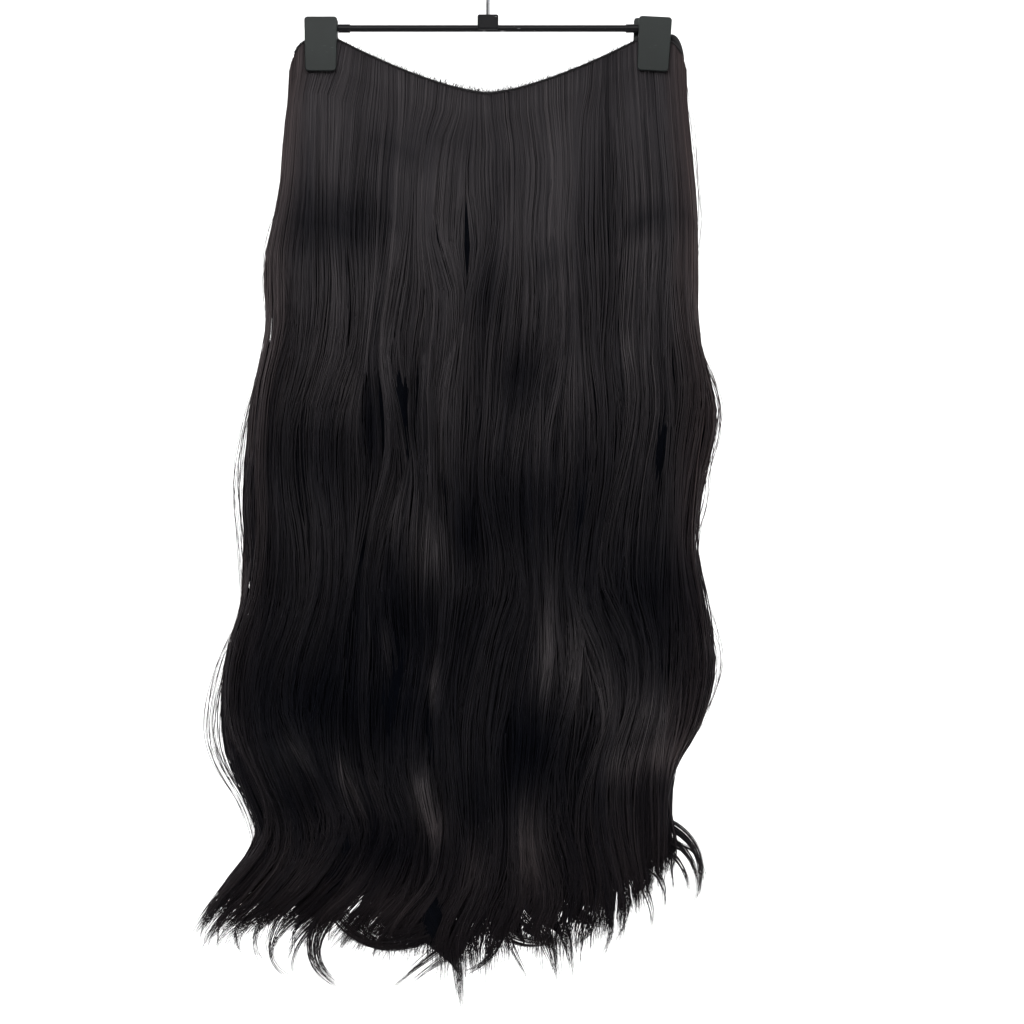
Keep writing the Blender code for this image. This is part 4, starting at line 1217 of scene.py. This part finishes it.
def bright_steel(name, color, streak_scale, low, high):
    """Bare steel whose roughness changes in fine streaks along one direction."""
    material, tree, shader = new_material(name, color, low, metallic=1.0)
    streaks = place_scratches(tree, streak_scale, 0.22)
    mask, height = place_grain(tree, streak_scale, 3.0)
    set_inputs(tree, shader, {"Base Color": mix_color(tree, mask, tint(color, 0.88), color),
                              "Roughness": map_range(tree, streaks, 0.0, 1.0, low, high)})
    add_bump(tree, shader, height, 0.00003, 0.4)
    return material


def woven_tape():
    """Woven black tape: threads across and along it, as two crossed waves."""
    material, tree, shader = new_material("Woven weft tape", TAPE, 0.85, specular=0.2)
    place = add_node(tree, "ShaderNodeTexCoord").outputs["Object"]
    waves = [add_node(tree, "ShaderNodeTexWave", {"Vector": place, "Scale": scale, "Distortion": 0.6,
                                                  "Detail": 1.0}, bands_direction=direction)
             for direction, scale in TAPE_THREADS]
    crossed = add_math(tree, "MULTIPLY", waves[0].outputs["Fac"], waves[1].outputs["Fac"])
    set_inputs(tree, shader, {"Base Color": mix_color(tree, crossed, TAPE_DARK, TAPE_LIGHT)})
    add_bump(tree, shader, crossed, 0.0003)
    return material


def sewing_thread(name, color):
    """Matt twisted thread: dark and light fibres in fine noise."""
    material, tree, shader = new_material(name, color, 0.8, specular=0.25)
    mask, height = place_grain(tree, THREAD_FIBRES, 2.0)
    set_inputs(tree, shader, {"Base Color": mix_color(tree, mask, tint(color, 0.5), color)})
    add_bump(tree, shader, height, 0.00012)
    return material


def refinish(names, material):
    """Give carried-over pieces of the frame a finer material on the objects themselves."""
    for name in names:
        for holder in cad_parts[name].material_slots:
            holder.link = "OBJECT"
            holder.material = material


class HairSettings(bpy.types.PropertyGroup):
    """Amount, size and colour of the hair."""
    front_clumps: IntProperty(
        name="Front clumps", description="Clumps of strands across the front", default=132, min=12)
    front_in_clump: IntProperty(
        name="Strands in a front clump", description="Strands that share a tip", default=19, min=3)
    back_clumps: IntProperty(
        name="Back clumps", description="Clumps of strands across the back", default=60, min=12)
    back_in_clump: IntProperty(
        name="Strands in a back clump", description="Strands that share a tip", default=15, min=3)
    end_clumps: IntProperty(
        name="End clumps", description="Clumps of short strands at the ends", default=92, min=12)
    end_in_clump: IntProperty(
        name="Strands in an end clump", description="Short strands that share a tip", default=11, min=3)
    strand_width: FloatProperty(
        name="Strand width", description="Width of one modelled strand of hairs", default=0.00085,
        min=0.0002, unit="LENGTH")
    clump_width: FloatProperty(
        name="Clump width", description="Half width of a clump as a share of the hair's width",
        default=0.022, min=0.002)
    layer_depth: FloatProperty(
        name="Layer depth", description="How far under the surface the deepest front clump lies",
        default=0.0055, min=0.0, unit="LENGTH")
    crown: FloatProperty(
        name="Clump crown", description="How far a clump's middle stands out", default=0.0016,
        min=0.0, unit="LENGTH")
    wander: FloatProperty(
        name="Clump wander", description="Slow sideways wander of a clump", default=0.0028,
        min=0.0, unit="LENGTH")
    frizz: FloatProperty(
        name="Frizz", description="Sideways wander of a single strand", default=0.0007, min=0.0,
        unit="LENGTH")
    loose_width: FloatProperty(
        name="Loose strand width", description="Width of a strand off the edges", default=0.00048,
        min=0.0001, unit="LENGTH")
    dark_color: FloatVectorProperty(
        name="Dark hair", description="Darkest strands", default=(0.0006, 0.0012, 0.0034),
        subtype="COLOR", min=0.0, max=1.0)
    light_color: FloatVectorProperty(
        name="Light hair", description="Lightest strands", default=(0.069, 0.062, 0.065),
        subtype="COLOR", min=0.0, max=1.0)
    # Painted light: a reddish brown that stands in for light shining through the hair at its edges and
    # ends
    warm_glow_color: FloatVectorProperty(
        name="Warm hair", description="Reddish brown of edges and ends", default=(0.075, 0.036, 0.027),
        subtype="COLOR", min=0.0, max=1.0)
    roughness: FloatProperty(
        name="Hair roughness", description="How soft the hair's shine is", default=0.50, min=0.0, max=1.0)
    specular: FloatProperty(
        name="Hair shine", description="Strength of the hair's shine", default=0.04, min=0.0, max=1.0)
    seed: IntProperty(name="Seed", description="Start of the hair's random draws", default=7)


class WeftSettings(bpy.types.PropertyGroup):
    """Sewing along the weft."""
    stitch_pitch: FloatProperty(
        name="Stitch pitch", description="From one stitch to the next", default=0.0022, min=0.0008,
        unit="LENGTH")
    thread_width: FloatProperty(
        name="Thread width", description="Thickness of the sewing thread", default=0.00048,
        min=0.0001, unit="LENGTH")
    fuzz_count: IntProperty(
        name="Short ends", description="Short hair ends along the sewn edge", default=620, min=0)
    thread_color: FloatVectorProperty(
        name="Thread", description="Colour of the sewing thread", default=(0.010, 0.009, 0.010),
        subtype="COLOR", min=0.0, max=1.0)


class HangerSettings(bpy.types.PropertyGroup):
    """Finishes of the hanger."""
    plastic_color: FloatVectorProperty(
        name="Jaw plastic", description="Colour of the clip jaws", default=(0.0064, 0.0096, 0.0088),
        subtype="COLOR", min=0.0, max=1.0)
    scuff_color: FloatVectorProperty(
        name="Scuffs", description="Colour of light scuffs on the jaws", default=(0.034, 0.041, 0.040),
        subtype="COLOR", min=0.0, max=1.0)
    plastic_roughness: FloatProperty(
        name="Jaw roughness", description="How satin the jaws are", default=0.42, min=0.0, max=1.0)
    wear: FloatProperty(
        name="Wear", description="Amount of scuffs and chips", default=0.04, min=0.0, max=0.3)
    paint_color: FloatVectorProperty(
        name="Bar paint", description="Colour of the painted bar", default=(0.004, 0.004, 0.005),
        subtype="COLOR", min=0.0, max=1.0)


class HAIR_EXTENSION_OT_under_locks(bpy.types.Operator):
    """Build the locks that fill the hair under its strands"""
    bl_idname = "hair_extension.under_locks"
    bl_label = "Under locks"

    def execute(self, context):
        material = under_finish(context.scene.hair_settings)
        for name, locks, side, steps, sides in UNDER_LOCKS:
            fill_locks(name, locks, side, steps, sides, material)
        return {"FINISHED"}


class HAIR_EXTENSION_OT_front_strands(bpy.types.Operator):
    """Grow the strands of the front"""
    bl_idname = "hair_extension.front_strands"
    bl_label = "Front strands"

    def execute(self, context):
        settings = context.scene.hair_settings
        rng = np.random.default_rng(settings.seed)
        strands = scatter_strands(rng, settings.front_clumps, settings.front_in_clump, settings)
        material = strand_finish(settings, "Front hair", 1.0)
        grow_strands("front_strands", strands, -1, FRONT_STEPS, settings.strand_width, material,
                     FRONT_PIECES)
        return {"FINISHED"}


class HAIR_EXTENSION_OT_back_strands(bpy.types.Operator):
    """Grow the strands of the back"""
    bl_idname = "hair_extension.back_strands"
    bl_label = "Back strands"

    def execute(self, context):
        settings = context.scene.hair_settings
        rng = np.random.default_rng(settings.seed + 1)
        strands = scatter_strands(rng, settings.back_clumps, settings.back_in_clump, settings)
        strands["thickness"] = strands["thickness"] * BACK_THICKNESS
        # The back's strands are a darker copy of the front hair: painted shade
        material = strand_finish(settings, "Back hair", DARKER_BY_PAINTED_SHADE)
        grow_strands("back_strands", strands, 1, BACK_STEPS, settings.strand_width, material)
        return {"FINISHED"}


class HAIR_EXTENSION_OT_hair_ends(bpy.types.Operator):
    """Thicken the ends with short strands and shape the curls at the tips"""
    bl_idname = "hair_extension.hair_ends"
    bl_label = "Hair ends"

    def execute(self, context):
        settings = context.scene.hair_settings
        # The ends' strands are a darker copy of the front hair: painted shade
        material = strand_finish(settings, "Hair ends", DARKER_BY_PAINTED_SHADE)
        rng = np.random.default_rng(settings.seed + 2)
        strands = scatter_strands(rng, settings.end_clumps, settings.end_in_clump, settings)
        count = len(strands["place"])
        strands["start"] = draw(rng, count, *END_START)
        strands["thickness"] = draw(rng, count, *END_THICKNESS)
        strands["tip_drop"] = strands["tip_drop"] + draw(rng, count, *END_SHIFT)
        grow_strands("end_strands", strands, -1, END_STEPS, settings.strand_width, material)

        rng = np.random.default_rng(settings.seed + 3)
        lines, along = curl_lines(rng, CURL_STEPS)
        half_width = settings.strand_width / 2 * mix(1.0, 0.15, along ** 1.5)
        half_width = half_width * draw(rng, len(lines), *CURL_THICKNESS)
        own = draw(rng, len(lines), *CURL_TONE)
        values = np.stack(np.broadcast_arrays(own, mix(0.85, 1.0, along), 0.5), -1)
        add_strand_tubes("curls", lines, half_width, values, material)
        return {"FINISHED"}


class HAIR_EXTENSION_OT_loose_edges(bpy.types.Operator):
    """Grow the single strands that stand off the two edges"""
    bl_idname = "hair_extension.loose_edges"
    bl_label = "Loose edges"

    def execute(self, context):
        settings = context.scene.hair_settings
        rng = np.random.default_rng(settings.seed + 4)
        lines, share, place = loose_lines(rng, LOOSE_STEPS)
        half_width = settings.loose_width / 2 * draw(rng, len(lines), *LOOSE_THICKNESS)
        half_width = half_width * mix(0.3, 1.0, np.sin(math.pi * share))
        own = draw(rng, len(lines), *LOOSE_TONE)
        values = np.stack(np.broadcast_arrays(own, 0.6, place), -1)
        material = strand_finish(settings, "Loose hair", 1.0)
        add_strand_tubes("loose_strands", lines, half_width, values, material)
        return {"FINISHED"}


class HAIR_EXTENSION_OT_weft_sewing(bpy.types.Operator):
    """Sew the weft's edge, roll its right end and finish its band"""
    bl_idname = "hair_extension.weft_sewing"
    bl_label = "Weft sewing"

    def execute(self, context):
        settings = context.scene.weft_settings
        rng = np.random.default_rng(context.scene.hair_settings.seed + 5)
        thread = sewing_thread("Sewing thread", settings.thread_color)
        refinish(("weft_band",), woven_tape())

        stitches = stitch_path(settings.stitch_pitch, 12)
        add_cord("edge_stitches", stitches, settings.thread_width / 2, 4, thread, (1.0, 0.0, 0.0))
        add_cord("edge_cords", seam_paths(90), settings.thread_width * 1.6, 6, thread)
        fuzz = fuzz_lines(rng, settings.fuzz_count, 4)
        add_cord("edge_fuzz", fuzz, np.linspace(*FUZZ_HALF_WIDTH, 5), 3, thread)

        path, half_width = roll_path(30)
        add_cord("rolled_end", path, half_width, 12, thread)
        return {"FINISHED"}


class HAIR_EXTENSION_OT_snap_clips(bpy.types.Operator):
    """Finish the snap clips and sew them to the band"""
    bl_idname = "hair_extension.snap_clips"
    bl_label = "Snap clips"

    def execute(self, context):
        settings = context.scene.weft_settings
        refinish(SNAP_CLIPS, painted_steel("Snap clip enamel", CLIP_ENAMEL, CLIP_CHIPS, 0.06))
        thread = sewing_thread("Clip thread", settings.thread_color)
        add_cord("clip_threads", clip_thread_paths(), settings.thread_width * 0.6, 6, thread,
                 (1.0, 0.0, 0.0), 1.0)
        return {"FINISHED"}


class HAIR_EXTENSION_OT_hanger_finishes(bpy.types.Operator):
    """Finish the hanger's jaws, springs, bar and hook"""
    bl_idname = "hair_extension.hanger_finishes"
    bl_label = "Hanger finishes"

    def execute(self, context):
        settings = context.scene.hanger_settings
        refinish(JAWS, moulded_plastic(settings))
        refinish(SPRINGS, bright_steel("Spring steel", SPRING_STEEL, SPRING_STREAKS, 0.28, 0.42))
        refinish(("hanger_bar",), painted_steel("Painted bar", settings.paint_color, BAR_CHIPS,
                                                settings.wear * 0.8))
        refinish(("hanger_hook",), bright_steel("Chromed wire", CHROME, WIRE_STREAKS, 0.12, 0.26))
        return {"FINISHED"}


class StageSettings(bpy.types.PropertyGroup):
    """Camera, lights and backdrop."""
    frame_height: FloatProperty(
        name="Frame height", description="Height of the picture at the hair", default=0.686, unit="LENGTH")
    camera_distance: FloatProperty(
        name="Camera distance", description="From the camera to the hair", default=2.2, unit="LENGTH")
    middle_across: FloatProperty(
        name="Frame middle across", description="Middle of the picture, across", default=0.0161,
        unit="LENGTH")
    middle_height: FloatProperty(
        name="Frame middle height", description="Middle of the picture, up", default=-0.4019,
        unit="LENGTH")
    key_power: FloatProperty(
        name="Key light", description="Power of the large front light in watts", default=14.0, min=0.0)
    fill_power: FloatProperty(
        name="Fill light", description="Power of the side light in watts", default=3.0, min=0.0)
    backdrop_power: FloatProperty(
        name="Backdrop light", description="Power of the lights on the backdrop in watts",
        default=60.0, min=0.0)
    sky: FloatProperty(name="Sky", description="Strength of the even light", default=0.12, min=0.0)
    sky_seen: FloatProperty(
        name="Sky seen", description="Brightness of the sky in the picture", default=0.85, min=0.0)


def pale_paper():
    """Matt pale paper, see-through from behind so that the hair shows from every side."""
    material, tree, shader = new_material("Pale paper", PAPER, 0.9, specular=0.1)
    mask, _ = place_grain(tree, PAPER_CLOUDS, 2.0)
    set_inputs(tree, shader, {"Base Color": mix_color(tree, mask, PAPER_DARK, PAPER_LIGHT)})
    behind = add_node(tree, "ShaderNodeNewGeometry").outputs["Backfacing"]
    clear = add_node(tree, "ShaderNodeBsdfTransparent").outputs[0]
    either = add_node(tree, "ShaderNodeMixShader", {0: behind})
    tree.links.new(shader.outputs[0], either.inputs[1])
    tree.links.new(clear, either.inputs[2])
    tree.links.new(either.outputs[0], tree.nodes["Material Output"].inputs["Surface"])
    return material


def backdrop_mesh():
    """Floor, a quarter round bend and a wall, as one sheet."""
    floor_z = HAIR_LOW.z - FLOOR_DROP
    turn = np.linspace(0.0, math.pi / 2, 17)
    y = np.concatenate(([PAPER_NEAR], PAPER_FAR - PAPER_BEND + PAPER_BEND * np.sin(turn), [PAPER_FAR]))
    z = np.concatenate(([0.0], PAPER_BEND - PAPER_BEND * np.cos(turn), [PAPER_HEIGHT])) + floor_z
    edges = np.array([-PAPER_HALF_WIDTH, PAPER_HALF_WIDTH])
    across, station = np.meshgrid(edges, np.arange(len(y)), indexing="ij")
    points = np.stack((across, y[station], z[station]), -1).reshape(-1, 3)
    index = np.arange(2 * len(y)).reshape(2, len(y))
    faces = np.stack((index[0, :-1], index[1, :-1], index[1, 1:], index[0, 1:]), -1)
    mesh = bpy.data.meshes.new("backdrop")
    mesh.from_pydata(points.tolist(), [], faces.tolist())
    return mesh


def area_light(name, place, target, size, power):
    """A lamp that shines from its place to the target and isn't seen itself."""
    light = bpy.data.lights.new(name, "AREA")
    light.shape = "RECTANGLE"
    light.size, light.size_y = size
    light.energy = power
    lamp = bpy.data.objects.new(name, light)
    lamp.location = place
    lamp.visible_camera = False
    lamp.rotation_euler = (Vector(target) - Vector(place)).to_track_quat("-Z", "Y").to_euler()
    bpy.context.scene.collection.objects.link(lamp)


def studio_world(settings):
    """White even light, and a pale sky where only the camera sees it."""
    world = bpy.data.worlds.new("Studio")
    world.use_nodes = True
    tree = world.node_tree
    seen = add_node(tree, "ShaderNodeLightPath").outputs["Is Camera Ray"]
    strength = map_range(tree, seen, 0.0, 1.0, settings.sky, settings.sky_seen)
    set_inputs(tree, tree.nodes["Background"], {"Color": (1.0, 1.0, 1.0), "Strength": strength})
    return world


class HAIR_EXTENSION_OT_stage(bpy.types.Operator):
    """Set up the backdrop, the lights and the camera"""
    bl_idname = "hair_extension.stage"
    bl_label = "Stage"

    def execute(self, context):
        settings = context.scene.stage_settings
        mesh = backdrop_mesh()
        mesh.materials.append(pale_paper())
        backdrop = bpy.data.objects.new("backdrop", mesh)
        context.scene.collection.objects.link(backdrop)

        middle = (settings.middle_across, 0.0, settings.middle_height)
        for name, place, target, size, power in LIGHTS:
            area_light(name, place, target or middle, size, getattr(settings, power))
        context.scene.world = studio_world(settings)

        camera = bpy.data.cameras.new("Camera")
        camera.sensor_width = 36.0
        camera.lens = camera.sensor_width * settings.camera_distance / settings.frame_height
        seat = bpy.data.objects.new("Camera", camera)
        seat.location = (settings.middle_across, -settings.camera_distance, settings.middle_height)
        seat.rotation_euler = (math.radians(90.0), 0.0, 0.0)
        context.scene.collection.objects.link(seat)
        context.scene.camera = seat
        context.scene.view_settings.view_transform = "Standard"
        return {"FINISHED"}


OPERATORS = (HAIR_EXTENSION_OT_under_locks, HAIR_EXTENSION_OT_front_strands,
             HAIR_EXTENSION_OT_back_strands, HAIR_EXTENSION_OT_hair_ends,
             HAIR_EXTENSION_OT_loose_edges, HAIR_EXTENSION_OT_weft_sewing,
             HAIR_EXTENSION_OT_snap_clips, HAIR_EXTENSION_OT_hanger_finishes,
             HAIR_EXTENSION_OT_stage)
SETTINGS = {"hair_settings": HairSettings, "weft_settings": WeftSettings,
            "hanger_settings": HangerSettings, "stage_settings": StageSettings}


class HAIR_EXTENSION_PT_sidebar(bpy.types.Panel):
    """Lists every step of the hair extension with its settings"""
    bl_idname = "HAIR_EXTENSION_PT_sidebar"
    bl_label = "Hair extension"
    bl_space_type = "VIEW_3D"
    bl_region_type = "UI"
    bl_category = "Hair extension"

    def draw(self, context):
        for each in OPERATORS:
            self.layout.operator(each.bl_idname)
        for name, group in SETTINGS.items():
            box = self.layout.box()
            for setting in group.__annotations__:
                box.prop(getattr(context.scene, name), setting)


CLASSES = (*SETTINGS.values(), *OPERATORS, HAIR_EXTENSION_PT_sidebar)


def register():
    for each in CLASSES:
        bpy.utils.register_class(each)
    for name, group in SETTINGS.items():
        setattr(bpy.types.Scene, name, PointerProperty(type=group))


def unregister():
    for name in SETTINGS:
        delattr(bpy.types.Scene, name)
    for each in reversed(CLASSES):
        bpy.utils.unregister_class(each)


def main():
    register()
    bpy.ops.hair_extension.under_locks()
    bpy.ops.hair_extension.front_strands()
    bpy.ops.hair_extension.back_strands()
    bpy.ops.hair_extension.hair_ends()
    bpy.ops.hair_extension.loose_edges()
    bpy.ops.hair_extension.weft_sewing()
    bpy.ops.hair_extension.snap_clips()
    bpy.ops.hair_extension.hanger_finishes()
    bpy.ops.hair_extension.stage()


if __name__ == "__main__":
    main()
